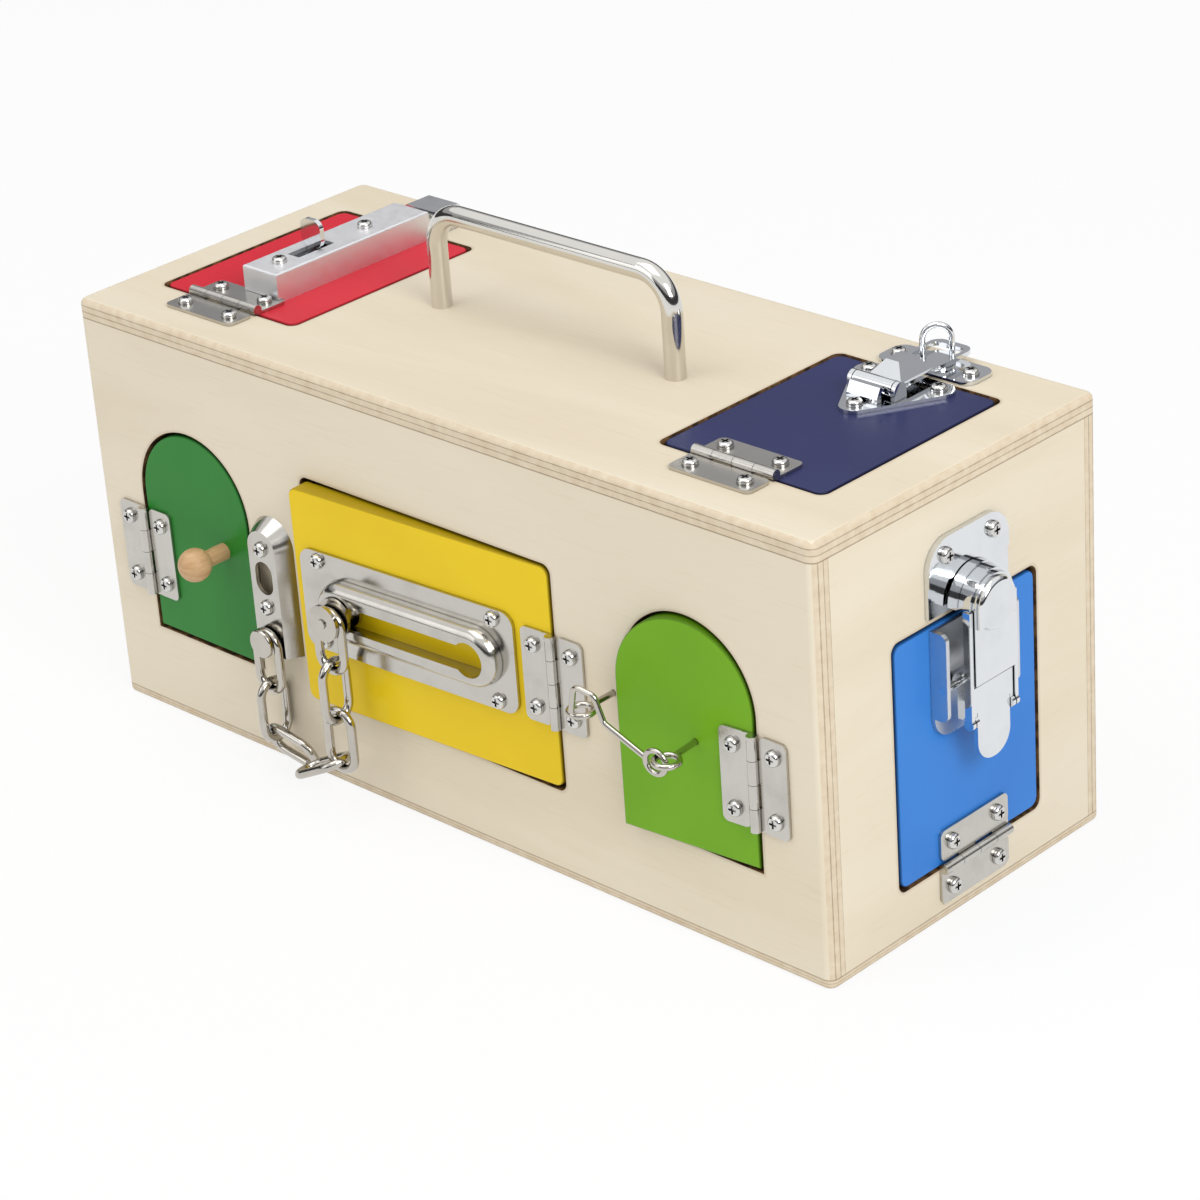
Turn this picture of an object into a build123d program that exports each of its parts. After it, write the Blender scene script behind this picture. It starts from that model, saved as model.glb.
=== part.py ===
from build123d import *
import os

# Wooden lock box: a hollow plywood case with six small doors and lids, each with its own lock.
# +X runs along the long front to the right, +Y from the front into the box, +Z up.
# The origin is the middle of the underside. All sizes are in millimetres, angles in degrees.

# Case
LENGTH = 300.0
DEPTH = 122.0
HEIGHT = 137.0
PLY = 6.0
BASE_PLY = 3.0
CORNER_R = 3.0
TOP_EDGE_R = 2.0
BASE_EDGE_R = 1.5

# Doors and lids: an opening is centred at the given place on its face, and the gap runs round the door
DOOR_GAP = 1.1
DOOR_CORNER_R = 3.0
DOOR_FACE_R = 0.6
SILL = 29.6
OPENING_H = 72.8
ARCH_OPENING_W = 49.8
GREEN_INSET = 46.0
LIME_INSET = 48.1
GREEN_X = GREEN_INSET - LENGTH / 2
LIME_X = LENGTH / 2 - LIME_INSET
LIME_AJAR = 5.0
YELLOW_X = -1.0
YELLOW_SHARE = 0.347
YELLOW_OPENING_W = LENGTH * YELLOW_SHARE
YELLOW_AJAR = 3.3
LID_OPENING_W = 60.8
LID_OPENING_D = 77.8
RED_INSET = 44.2
RED_X = RED_INSET - LENGTH / 2
RED_Y = 0.4
NAVY_INSET = 47.4
NAVY_X = LENGTH / 2 - NAVY_INSET
NAVY_Y = 2.0
BLUE_Y = 0.5
BLUE_SILL = 16.9
BLUE_OPENING_W = 63.4
BLUE_OPENING_H = 78.0

# Butt hinges
HINGE_LENGTH = 30.0
HINGE_HALF_W = 11.75
LEAF = 1.0
LEAF_CORNER_R = 2.0
KNUCKLE_R = 1.6
KNUCKLES = 4
KNUCKLE_GAP = 0.15
LEAF_CLEAR = 0.5
HINGE_PIN_R = 0.8
PIN_CLEAR = 0.05
HINGE_SCREW_OUT = 7.2
HINGE_SCREW_PITCH = 20.0
GREEN_HINGE_Z = 57.0
YELLOW_HINGE_Z = 66.0
LIME_HINGE_Z = 58.7
BLUE_HINGE_Y = 1.3
RED_HINGE_SHIFT = -0.5
RED_HINGE_X = RED_X + RED_HINGE_SHIFT
NAVY_HINGE_SHIFT = -1.3
NAVY_HINGE_X = NAVY_X + NAVY_HINGE_SHIFT

# Cross-head screws
HEAD_R = 2.4
HEAD_H = 1.7
HEAD_DOME_R = 1.1
CROSS_L = 2.6
CROSS_W = 0.7
CROSS_DEPTH = 0.8
SHANK_R = 1.2
SHANK_BITE = 4.6
HOLE_CLEAR = 0.08

# Carry handle
HANDLE_SPAN = 96.0
HANDLE_X = -2.0
HANDLE_RISE = 31.0
HANDLE_R = 3.2
HANDLE_BEND_R = 11.0
HANDLE_SCREW_R = 1.8
HANDLE_SCREW_HEAD_R = 4.0
HANDLE_SCREW_HEAD_H = 2.4
HANDLE_SCREW_BITE = 10.0

# Peg knob on the green door
KNOB_SHIFT = 11.7
KNOB_X = GREEN_X + KNOB_SHIFT
KNOB_Z = 66.3
KNOB_BALL_R = 5.3
KNOB_STANDOFF = 12.0
KNOB_NECK_R = 2.7
KNOB_TENON_R = 2.3

os.makedirs("parts", exist_ok=True)


def write(piece, name):
    """Label a finished piece and write it to its own file."""
    piece.part.label = name
    export_step(piece.part, f"parts/{name}.step")


def swung(face, pivot, turn):
    """A face turned about the upright line through a pivot."""
    return Plane(Pos(pivot) * Rot(0, 0, turn) * Pos(-pivot) * face.location)


def seat(face, u, v, out=0.0):
    """A place on a face, its Z pointing out of the face."""
    return face.location * Pos(u, v, out)


# Faces of the case: local x and y lie in the face and local z points out of it
front = Plane(origin=(0, -DEPTH / 2, 0), x_dir=(1, 0, 0), z_dir=(0, -1, 0))
right_end = Plane(origin=(LENGTH / 2, 0, 0), x_dir=(0, 1, 0), z_dir=(1, 0, 0))
top = Plane(origin=(0, 0, HEIGHT), x_dir=(1, 0, 0), z_dir=(0, 0, 1))

# Hinge lines run over the middle of the gap beside each door
opening_z = SILL + OPENING_H / 2
green_line = GREEN_X - (ARCH_OPENING_W - DOOR_GAP) / 2
yellow_line = YELLOW_X + (YELLOW_OPENING_W - DOOR_GAP) / 2
lime_line = LIME_X + (ARCH_OPENING_W - DOOR_GAP) / 2
red_line = RED_Y - (LID_OPENING_D - DOOR_GAP) / 2
navy_line = NAVY_Y - (LID_OPENING_D - DOOR_GAP) / 2
blue_line = BLUE_SILL + DOOR_GAP / 2
blue_z = BLUE_SILL + BLUE_OPENING_H / 2

# Faces that swing with the two doors left ajar
yellow_pivot = Vector(yellow_line, -DEPTH / 2 - KNUCKLE_R, 0)
lime_pivot = Vector(lime_line, -DEPTH / 2 - KNUCKLE_R, 0)
yellow_face = swung(front, yellow_pivot, YELLOW_AJAR)
lime_face = swung(front, lime_pivot, LIME_AJAR)


def hinge_face(face, u, v, toward):
    """The face seen from a hinge: local x points to the door and local y runs along the pin."""
    turn = {"right": 0, "left": 180, "up": 90}[toward]
    return Plane(face.location * Pos(u, v, 0) * Rot(0, 0, turn))


# Each hinge: its name, its face under the case leaf and its face under the door leaf
hinges = [
    ("green", hinge_face(front, green_line, GREEN_HINGE_Z, "right"),
     hinge_face(front, green_line, GREEN_HINGE_Z, "right")),
    ("yellow", hinge_face(front, yellow_line, YELLOW_HINGE_Z, "left"),
     hinge_face(yellow_face, yellow_line, YELLOW_HINGE_Z, "left")),
    ("lime", hinge_face(front, lime_line, LIME_HINGE_Z, "left"),
     hinge_face(lime_face, lime_line, LIME_HINGE_Z, "left")),
    ("blue", hinge_face(right_end, BLUE_HINGE_Y, blue_line, "up"),
     hinge_face(right_end, BLUE_HINGE_Y, blue_line, "up")),
    ("red", hinge_face(top, RED_HINGE_X, red_line, "up"),
     hinge_face(top, RED_HINGE_X, red_line, "up")),
    ("navy", hinge_face(top, NAVY_HINGE_X, navy_line, "up"),
     hinge_face(top, NAVY_HINGE_X, navy_line, "up")),
]


def leaf_screws(face, side):
    """Screw seats on a hinge leaf, which lies on one side of the pin."""
    reach = side * HINGE_SCREW_OUT
    half = HINGE_SCREW_PITCH / 2
    return [seat(face, reach, half, LEAF), seat(face, reach, -half, LEAF)]


case_leaf_seats = {name: leaf_screws(case, -1) for name, case, door in hinges}
door_leaf_seats = {name: leaf_screws(door, 1) for name, case, door in hinges}

# Door chain: bracket on the case, slotted plate and slider on the yellow door
BRACKET_X = -68.5
BRACKET_W = 18.4
BRACKET_SHEET = 1.2
BRACKET_H = 5.0
BRACKET_TAPER = 32.0
BRACKET_FOOT_Z = 40.0
BRACKET_TOP_Z = 84.6
BRACKET_SCREW_TOP_Z = 75.6
BRACKET_SCREW_LOW_Z = 56.0
BRACKET_EYE_Z = 65.8
BRACKET_EYE_W = 7.6
BRACKET_EYE_L = 11.0
RIVET_Z = 45.2
RIVET_SHANK_R = 1.5
RIVET_HEAD_R = 4.7
RIVET_HEAD = 1.4
SLOT_PLATE = 1.2
SLOT_PLATE_V = 66.9
SLOT_PLATE_W = 84.5
SLOT_HINGE_GAP = 2.8
SLOT_PLATE_U = yellow_line - HINGE_HALF_W - SLOT_HINGE_GAP - SLOT_PLATE_W / 2
SLOT_PLATE_H = 32.7
SLOT_PLATE_CORNER_R = 4.5
SLOT_SCREW_INSET = 7.45
SLOT_SCREW_HALF_W = SLOT_PLATE_W / 2 - SLOT_SCREW_INSET
SLOT_SCREW_HALF_H = 13.3
RIM_SHIFT = 2.0
RIM_U = SLOT_PLATE_U + RIM_SHIFT
RIM_MARGIN = 13.5
RIM_L = SLOT_PLATE_W - RIM_MARGIN
RIM_R = 3.5
RIM_W = 19.0
RIM_H = 5.0
RIM_SHEET = 1.6
SLOT_W = 8.0
SLOT_MARGIN = 10.8
SLOT_L = RIM_L - SLOT_MARGIN
SLOT_ENTRY_R = 5.6
SLIDER_PLAY = 0.4
SLIDER_NECK_R = 3.5
SLIDER_FLANGE_R = 5.2
SLIDER_FLANGE = 1.2
SLIDER_COLLAR_R = 6.2
SLIDER_COLLAR = 1.2
SLIDER_SHANK_R = 1.5
SLIDER_HEAD_R = 5.8
SLIDER_HEAD = 1.2
LINK_WIRE = 2.8
LINK_L = 22.4
LINK_W = 12.6
LINK_CLEAR = 0.12
LINK_PLAY = 0.6
LINK_LEAN_TWIST = 20.0
LINK_LEAN_FALL = 8.6
LINK_BACK_FALL = 26.7

# Hook and eyes
EYE_WIRE = 1.9
EYE_RING_R = 3.6
EYE_STANDOFF = 13.0
EYE_BITE = 5.0
WALL_EYE_SHIFT = -28.9
WALL_EYE_X = LIME_X + WALL_EYE_SHIFT
WALL_EYE_Z = 69.2
DOOR_EYE_SHIFT = 3.6
DOOR_EYE_U = LIME_X + DOOR_EYE_SHIFT
DOOR_EYE_V = 65.0
HOOK_WIRE = 1.8
HOOK_EYE_R = 3.5
HOOK_LIFT = 10.0
HOOK_EYE_PLAY = 0.15
HOOK_RISE = 9.5
HOOK_DIP = 2.5
HOOK_KNEE = 0.62
HOOK_SHOULDER = 0.76
HOOK_TAIL_V = 0.8
HOOK_BEND_R = 2.2

# Draw latch on the blue door, worked from the right end: u is Y, v is Z
LATCH_U = 0.8
STRIKE = 1.4
STRIKE_PAD = 0.5
STRIKE_PAD_FOOT_V = 106.5
STRIKE_W = 34.8
STRIKE_FOOT_V = 97.0
STRIKE_TOP_V = 119.5
STRIKE_CORNER_R = 9.0
STRIKE_SCREW_V = 114.3
STRIKE_SCREW_PITCH = 20.4
STRIKE_LIP_W = 7.0
STRIKE_LIP_FOOT_V = 99.5
STRIKE_LIP_TOP_V = 104.4
STRIKE_LIP_OUT = 5.6
STRIKE_LIP_SHEET = 1.2
LATCH_BASE = 1.4
LATCH_BASE_W = 32.0
LATCH_BASE_FOOT_V = 59.0
LATCH_BASE_TOP_V = 93.0
LATCH_BASE_CORNER_R = 7.0
LATCH_SCREW_TOP_V = 86.0
LATCH_SCREW_LOW_V = 66.5
LATCH_RIM = 1.4
LATCH_RIM_OUT = 6.0
LATCH_RIM_R = 2.4
LEVER_W = 17.2
LEVER_SHEET = 1.3
LEVER_OUT = 9.2
LEVER_SIDE_IN = 3.5
LEVER_STEP_V = 66.8
LEVER_TIP_V = 50.4
LEVER_TOP_V = 74.6
LEVER_EYE_R = 2.4
LEVER_TAB_W = 14.2
LEVER_END_R = 6.8
LEVER_PIVOT_V = 75.5
LEVER_PIVOT_OUT = 4.2
LOOP_PIVOT_DROP = 11.5
LOOP_PIVOT_OUT = 8.6
LOOP_SHEET = 1.3
LOOP_LEG_D = 2.4
LOOP_EYE_R = 1.7
LOOP_BAND = 3.0
LOOP_TOP_V = 108.8
LOOP_INNER_OUT = 2.2
LOOP_OUT = 10.4
LOOP_STEP_OUT = 5.2
LOOP_STEP_IN = 0.7
LOOP_FACE = 1.2
LOOP_FACE_FOOT_V = 75.8
LOOP_CAP = 2.0
LOOP_CAP_R = 7.8
LOOP_CAP_EDGE_R = 1.6
LOOP_CAP_FOOT_V = 93.0
LATCH_PIN_R = 1.0
LATCH_SIDE_PLAY = 0.4

# Square bolt on the red lid, worked from the top: u is X, v is Y
BOLT_SHIFT = 5.0
BOLT_U = RED_X + BOLT_SHIFT
HOUSING_W = 15.3
HOUSING_H = 9.3
HOUSING_SHEET = 1.2
HOUSING_FRONT_V = -27.8
HOUSING_REAR_V = 37.0
HOUSING_SCREW_FRONT_V = -19.4
HOUSING_SCREW_REAR_V = 16.6
BOLT_W = 12.2
BOLT_H = 5.6
BOLT_GROUND = 0.3
FIN_V = -5.0
FIN = 1.6
FIN_NECK_W = 4.4
FIN_W = 9.0
FIN_RISE = 9.0
SLOT_SIDE_PLAY = 0.4
BOLT_DRAW = 7.5
BOLT_THROW = 5.0
BOLT_NOSE_GAP = 0.5
BOLT_STRIKE_V = 41.0
BOLT_STRIKE_L = 10.0
BOLT_STRIKE_H = 7.4
BOLT_STRIKE_PRONG_R = 0.55
BOLT_STRIKE_PRONG_L = 4.5

# Hasp on the navy lid, worked from the top
HASP_SHIFT = -0.4
HASP_U = NAVY_X + HASP_SHIFT
HASP_PLATE = 1.2
HASP_LOBE_R = 4.6
HASP_NOSE_V = 12.8
HASP_HEEL_V = 34.4
HASP_HEEL_PITCH = 25.6
HASP_EAR = 1.4
HASP_EAR_R = 2.6
HASP_PIVOT_V = 22.5
HASP_PIVOT_OUT = 4.0
HASP_PIN_R = 0.9
HASP_BARREL_R = 2.6
HASP_WEDGE_V = 15.8
HASP_WEDGE_L = 3.4
HASP_WEDGE_H = 4.6
HASP_WEDGE_W = 11.0
HASP_ARM_W = 14.0
HASP_ARM = 1.3
HASP_ARM_OUT = 3.0
HASP_ARM_TIP_V = 58.0
HASP_HUMP_V = 33.0
HASP_HUMP_L = 14.0
HASP_HUMP_W = 12.0
HASP_HUMP_H = 4.4
HASP_HUMP_TAPER = 40.0
HASP_WINDOW_W = 11.0
HASP_WINDOW_L = 12.0
HASP_WINDOW_LEAD = 0.2
HASP_SIDE_PLAY = 0.3
RING_V = 49.5
RING_WIRE = 1.8
RING_W = 8.5
RING_TOP_OUT = 13.6
RING_TURN = 45.0
RING_FOOT_R = 5.2
RING_FOOT = 1.4
RING_STEM_R = 1.5
HASP_STRIKE_W = 35.0
HASP_STRIKE_D = 13.0
HASP_STRIKE_R = 4.0
HASP_STRIKE_SCREW_HALF = 13.2
HASP_STRIKE_V = 48.2

handle_feet = (HANDLE_X - HANDLE_SPAN / 2, HANDLE_X + HANDLE_SPAN / 2)

# Screw seats of the locks
bracket_seats = [seat(front, BRACKET_X, v, BRACKET_H) for v in (BRACKET_SCREW_TOP_Z, BRACKET_SCREW_LOW_Z)]
slot_us = (SLOT_PLATE_U - SLOT_SCREW_HALF_W, SLOT_PLATE_U + SLOT_SCREW_HALF_W)
slot_vs = (SLOT_PLATE_V - SLOT_SCREW_HALF_H, SLOT_PLATE_V + SLOT_SCREW_HALF_H)
slot_seats = [seat(yellow_face, u, v, SLOT_PLATE) for u in slot_us for v in slot_vs]
strike_out = STRIKE + STRIKE_PAD
strike_us = (LATCH_U - STRIKE_SCREW_PITCH / 2, LATCH_U + STRIKE_SCREW_PITCH / 2)
strike_seats = [seat(right_end, u, STRIKE_SCREW_V, strike_out) for u in strike_us]
housing_seats = [seat(top, BOLT_U, v, HOUSING_H) for v in (HOUSING_SCREW_FRONT_V, HOUSING_SCREW_REAR_V)]
latch_seats = [seat(right_end, LATCH_U, v, LATCH_BASE) for v in (LATCH_SCREW_TOP_V, LATCH_SCREW_LOW_V)]
hasp_points = [(HASP_U, HASP_NOSE_V)] + [(HASP_U + i * HASP_HEEL_PITCH / 2, HASP_HEEL_V) for i in (-1, 1)]
hasp_seats = [seat(top, u, v, HASP_PLATE) for u, v in hasp_points]
hasp_strike_us = (HASP_U - HASP_STRIKE_SCREW_HALF, HASP_U + HASP_STRIKE_SCREW_HALF)
hasp_strike_seats = [seat(top, u, HASP_STRIKE_V, HASP_PLATE) for u in hasp_strike_us]


def drill(seats, out):
    """Pilot holes for screws whose heads sit a given height above the wood."""
    with Locations(*seats):
        Hole(SHANK_R + HOLE_CLEAR, out + SHANK_BITE + HOLE_CLEAR)


def door_outline(width, height, arched):
    """Outline of a door or of its opening: square with round corners, or with a round top."""
    if arched:
        with Locations((0, -width / 4)):
            Rectangle(width, height - width / 2)
        with Locations((0, height / 2 - width / 2)):
            Circle(width / 2)
    else:
        RectangleRounded(width, height, DOOR_CORNER_R)


# Case panels
with BuildPart() as front_panel:
    with BuildSketch(front):
        with Locations((0, (HEIGHT - PLY + BASE_PLY) / 2)):
            Rectangle(LENGTH, HEIGHT - PLY - BASE_PLY)
    extrude(amount=-PLY)
    fillet(front_panel.faces().sort_by(Axis.Y)[0].edges().filter_by(Axis.Z), CORNER_R)
    with BuildSketch(front):
        for x in (GREEN_X, LIME_X):
            with Locations((x, opening_z)):
                door_outline(ARCH_OPENING_W, OPENING_H, True)
        with Locations((YELLOW_X, opening_z)):
            door_outline(YELLOW_OPENING_W, OPENING_H, False)
    extrude(amount=-PLY, mode=Mode.SUBTRACT)
    for name in ("green", "yellow", "lime"):
        drill(case_leaf_seats[name], LEAF)
    drill(bracket_seats, BRACKET_H)
    with Locations(seat(front, WALL_EYE_X, WALL_EYE_Z)):
        Hole(EYE_WIRE / 2 + HOLE_CLEAR, EYE_BITE + HOLE_CLEAR)
write(front_panel, "front_panel")

with BuildPart() as back_panel:
    with BuildSketch(Plane.XZ.offset(-DEPTH / 2)):
        with Locations((0, (HEIGHT - PLY + BASE_PLY) / 2)):
            Rectangle(LENGTH, HEIGHT - PLY - BASE_PLY)
    extrude(amount=PLY)
    fillet(back_panel.faces().sort_by(Axis.Y)[-1].edges().filter_by(Axis.Z), CORNER_R)
write(back_panel, "back_panel")

with BuildPart() as left_end_panel:
    with BuildSketch(Plane.YZ.offset(-LENGTH / 2)):
        with Locations((0, (HEIGHT - PLY + BASE_PLY) / 2)):
            Rectangle(DEPTH - 2 * PLY, HEIGHT - PLY - BASE_PLY)
    extrude(amount=PLY)
write(left_end_panel, "left_end_panel")

with BuildPart() as right_end_panel:
    with BuildSketch(right_end):
        with Locations((0, (HEIGHT - PLY + BASE_PLY) / 2)):
            Rectangle(DEPTH - 2 * PLY, HEIGHT - PLY - BASE_PLY)
    extrude(amount=-PLY)
    with BuildSketch(right_end):
        with Locations((BLUE_Y, blue_z)):
            door_outline(BLUE_OPENING_W, BLUE_OPENING_H, False)
    extrude(amount=-PLY, mode=Mode.SUBTRACT)
    drill(case_leaf_seats["blue"], LEAF)
    drill(strike_seats, strike_out)
write(right_end_panel, "right_end_panel")

with BuildPart() as top_panel:
    with BuildSketch(top):
        RectangleRounded(LENGTH, DEPTH, CORNER_R)
    extrude(amount=-PLY)
    fillet(top_panel.faces().sort_by(Axis.Z)[-1].edges(), TOP_EDGE_R)
    with BuildSketch(top):
        for place in ((RED_X, RED_Y), (NAVY_X, NAVY_Y)):
            with Locations(place):
                door_outline(LID_OPENING_W, LID_OPENING_D, False)
    extrude(amount=-PLY, mode=Mode.SUBTRACT)
    for name in ("red", "navy"):
        drill(case_leaf_seats[name], LEAF)
    drill(hasp_strike_seats, HASP_PLATE)
    with Locations(*[seat(top, x, 0) for x in handle_feet]):
        Hole(HANDLE_SCREW_R + HOLE_CLEAR)
    with Locations(*[seat(top, BOLT_U + i * (HOUSING_W - HOUSING_SHEET) / 2, BOLT_STRIKE_V + BOLT_STRIKE_L / 2)
                     for i in (-1, 1)]):
        Hole(BOLT_STRIKE_PRONG_R + HOLE_CLEAR, BOLT_STRIKE_PRONG_L + HOLE_CLEAR)
    with Locations(seat(top, HASP_U, RING_V)):
        Hole(RING_STEM_R + PIN_CLEAR + 2 * HOLE_CLEAR, PLY / 2)
write(top_panel, "top_panel")

with BuildPart() as bottom_panel:
    with BuildSketch(Plane.XY):
        RectangleRounded(LENGTH, DEPTH, CORNER_R)
    extrude(amount=BASE_PLY)
    fillet(bottom_panel.faces().sort_by(Axis.Z)[0].edges(), BASE_EDGE_R)
write(bottom_panel, "bottom_panel")


# Doors and lids: name, face, place, opening width and height, round top, and what is drilled into each
knob_seat = seat(front, KNOB_X, KNOB_Z)
door_eye_seat = seat(lime_face, DOOR_EYE_U, DOOR_EYE_V)
doors = [
    ("green_door", front, (GREEN_X, opening_z), ARCH_OPENING_W, OPENING_H, True,
     [(door_leaf_seats["green"], LEAF)]),
    ("yellow_door", yellow_face, (YELLOW_X, opening_z), YELLOW_OPENING_W, OPENING_H, False,
     [(door_leaf_seats["yellow"], LEAF), (slot_seats, SLOT_PLATE)]),
    ("lime_door", lime_face, (LIME_X, opening_z), ARCH_OPENING_W, OPENING_H, True,
     [(door_leaf_seats["lime"], LEAF)]),
    ("blue_door", right_end, (BLUE_Y, blue_z), BLUE_OPENING_W, BLUE_OPENING_H, False,
     [(door_leaf_seats["blue"], LEAF), (latch_seats, LATCH_BASE)]),
    ("red_lid", top, (RED_X, RED_Y), LID_OPENING_W, LID_OPENING_D, False,
     [(door_leaf_seats["red"], LEAF), (housing_seats, HOUSING_H)]),
    ("navy_lid", top, (NAVY_X, NAVY_Y), LID_OPENING_W, LID_OPENING_D, False,
     [(door_leaf_seats["navy"], LEAF), (hasp_seats, HASP_PLATE)]),
]
for name, face, place, width, height, arched, screws in doors:
    with BuildPart() as door:
        with BuildSketch(face):
            with Locations(place):
                door_outline(width - 2 * DOOR_GAP, height - 2 * DOOR_GAP, arched)
        extrude(amount=-PLY)
        outer = [side for side in door.faces() if side.normal_at().dot(face.z_dir) > 0.99]
        fillet(outer[0].edges(), DOOR_FACE_R)
        for seats, out in screws:
            drill(seats, out)
        if name == "green_door":
            with Locations(knob_seat):
                Hole(KNOB_TENON_R + HOLE_CLEAR)
        if name == "lime_door":
            with Locations(door_eye_seat):
                Hole(EYE_WIRE / 2 + HOLE_CLEAR, EYE_BITE + HOLE_CLEAR)
    write(door, name)


# Hinge leaves: each knuckle is rolled from its leaf, and the two leaves take turns along the pin
knuckle_pitch = HINGE_LENGTH / KNUCKLES
knuckle_l = knuckle_pitch - KNUCKLE_GAP
knuckle_middles = [-HINGE_LENGTH / 2 + (i + 0.5) * knuckle_pitch for i in range(KNUCKLES)]
plate_start = KNUCKLE_R + LEAF_CLEAR
plate_w = HINGE_HALF_W - plate_start

for name, case_face, door_face in hinges:
    leaves = [
        (f"{name}_hinge_case_leaf", case_face, -1, case_leaf_seats[name]),
        (f"{name}_hinge_door_leaf", door_face, 1, door_leaf_seats[name]),
    ]
    for leaf_name, face, side, seats in leaves:
        middles = knuckle_middles[0::2] if side > 0 else knuckle_middles[1::2]
        pin_line = face.location * Pos(0, 0, KNUCKLE_R)
        with BuildPart() as leaf:
            with BuildSketch(face) as plate:
                with Locations((side * (plate_start + plate_w / 2), 0)):
                    Rectangle(plate_w, HINGE_LENGTH)
                outer_corners = [corner for corner in plate.vertices()
                                 if abs(face.to_local_coords(corner.center()).X) > plate_start + LEAF]
                fillet(outer_corners, LEAF_CORNER_R)
            extrude(amount=LEAF)
            with BuildSketch(face):
                with Locations(*[(side * (plate_start + LEAF) / 2, m) for m in middles]):
                    Rectangle(plate_start + LEAF, knuckle_l)
            extrude(amount=LEAF)
            with Locations(*[pin_line * Pos(0, m, 0) * Rot(90, 0, 0) for m in middles]):
                Cylinder(KNUCKLE_R, knuckle_l)
                Cylinder(HINGE_PIN_R + PIN_CLEAR, knuckle_l, mode=Mode.SUBTRACT)
            with Locations(*seats):
                Hole(SHANK_R + HOLE_CLEAR, LEAF)
        write(leaf, leaf_name)

with BuildPart() as hinge_pins:
    with Locations(*[face.location * Pos(0, 0, KNUCKLE_R) * Rot(90, 0, 0) for name, face, door in hinges]):
        Cylinder(HINGE_PIN_R, HINGE_LENGTH)
write(hinge_pins, "hinge_pins")


def screw(out):
    """A pan-head screw with a cross recess, seated at its head and as long as its seat is high."""
    with BuildPart() as body:
        with Locations((0, 0, HEAD_H / 2)):
            Cylinder(HEAD_R, HEAD_H)
        fillet(body.edges().sort_by(Axis.Z)[-1], HEAD_DOME_R)
        with Locations((0, 0, HEAD_H - CROSS_DEPTH / 2)):
            Box(CROSS_L, CROSS_W, CROSS_DEPTH, mode=Mode.SUBTRACT)
            Box(CROSS_W, CROSS_L, CROSS_DEPTH, mode=Mode.SUBTRACT)
        shank_l = out + SHANK_BITE
        with Locations((0, 0, -shank_l / 2)):
            Cylinder(SHANK_R, shank_l)
    return body.part


# Screws, grouped by the body that they are driven into
screw_groups = [
    ("case_screws", [(sum(case_leaf_seats.values(), []), LEAF), (bracket_seats, BRACKET_H),
                     (strike_seats, STRIKE), (hasp_strike_seats, HASP_PLATE)]),
    ("green_door_screws", [(door_leaf_seats["green"], LEAF)]),
    ("yellow_door_screws", [(door_leaf_seats["yellow"], LEAF), (slot_seats, SLOT_PLATE)]),
    ("lime_door_screws", [(door_leaf_seats["lime"], LEAF)]),
    ("blue_door_screws", [(door_leaf_seats["blue"], LEAF), (latch_seats, LATCH_BASE)]),
    ("red_lid_screws", [(door_leaf_seats["red"], LEAF), (housing_seats, HOUSING_H)]),
    ("navy_lid_screws", [(door_leaf_seats["navy"], LEAF), (hasp_seats, HASP_PLATE)]),
]
for name, sets in screw_groups:
    with BuildPart() as group:
        for seats, out in sets:
            one = screw(out)
            with Locations(*seats):
                add(one)
    write(group, name)

# Carry handle: a round bar bent twice, screwed on from inside the case
with BuildPart() as carry_handle:
    with BuildLine(Plane.XZ) as bar:
        FilletPolyline((handle_feet[0], HEIGHT), (handle_feet[0], HEIGHT + HANDLE_RISE),
                       (handle_feet[1], HEIGHT + HANDLE_RISE), (handle_feet[1], HEIGHT),
                       radius=HANDLE_BEND_R)
    with BuildSketch(Plane.XY.offset(HEIGHT)):
        with Locations((handle_feet[0], 0)):
            Circle(HANDLE_R)
    sweep(path=bar.line)
    with Locations(*[Location((x, 0, HEIGHT), (180, 0, 0)) for x in handle_feet]):
        Hole(HANDLE_SCREW_R + HOLE_CLEAR, HANDLE_SCREW_BITE + HOLE_CLEAR)
write(carry_handle, "carry_handle")

with BuildPart() as handle_screws:
    under = HEIGHT - PLY
    for x in handle_feet:
        with BuildSketch(Plane.XY.offset(under)):
            with Locations((x, 0)):
                Circle(HANDLE_SCREW_HEAD_R)
        extrude(amount=-HANDLE_SCREW_HEAD_H)
        with BuildSketch(Plane.XY.offset(under)):
            with Locations((x, 0)):
                Circle(HANDLE_SCREW_R)
        extrude(amount=PLY + HANDLE_SCREW_BITE)
write(handle_screws, "handle_screws")

# Peg knob: a turned ball on a short neck, with a tenon through the green door
with BuildPart() as knob:
    with BuildSketch(Plane(knob_seat * Rot(90, 0, 0))):
        with BuildLine():
            meet = (KNOB_BALL_R ** 2 - KNOB_NECK_R ** 2) ** 0.5
            Polyline((KNOB_NECK_R, KNOB_STANDOFF - meet), (KNOB_NECK_R, 0), (KNOB_TENON_R, 0),
                            (KNOB_TENON_R, -PLY), (0, -PLY), (0, KNOB_STANDOFF + KNOB_BALL_R))
            ThreePointArc((0, KNOB_STANDOFF + KNOB_BALL_R), (KNOB_BALL_R, KNOB_STANDOFF),
                          (KNOB_NECK_R, KNOB_STANDOFF - meet))
        make_face()
    revolve(axis=Axis(knob_seat.position, front.z_dir))
write(knob, "knob")

# Door chain
bracket_spring = BRACKET_TOP_Z - BRACKET_W / 2
bracket_low = BRACKET_FOOT_Z - BRACKET_W / 2
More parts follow.
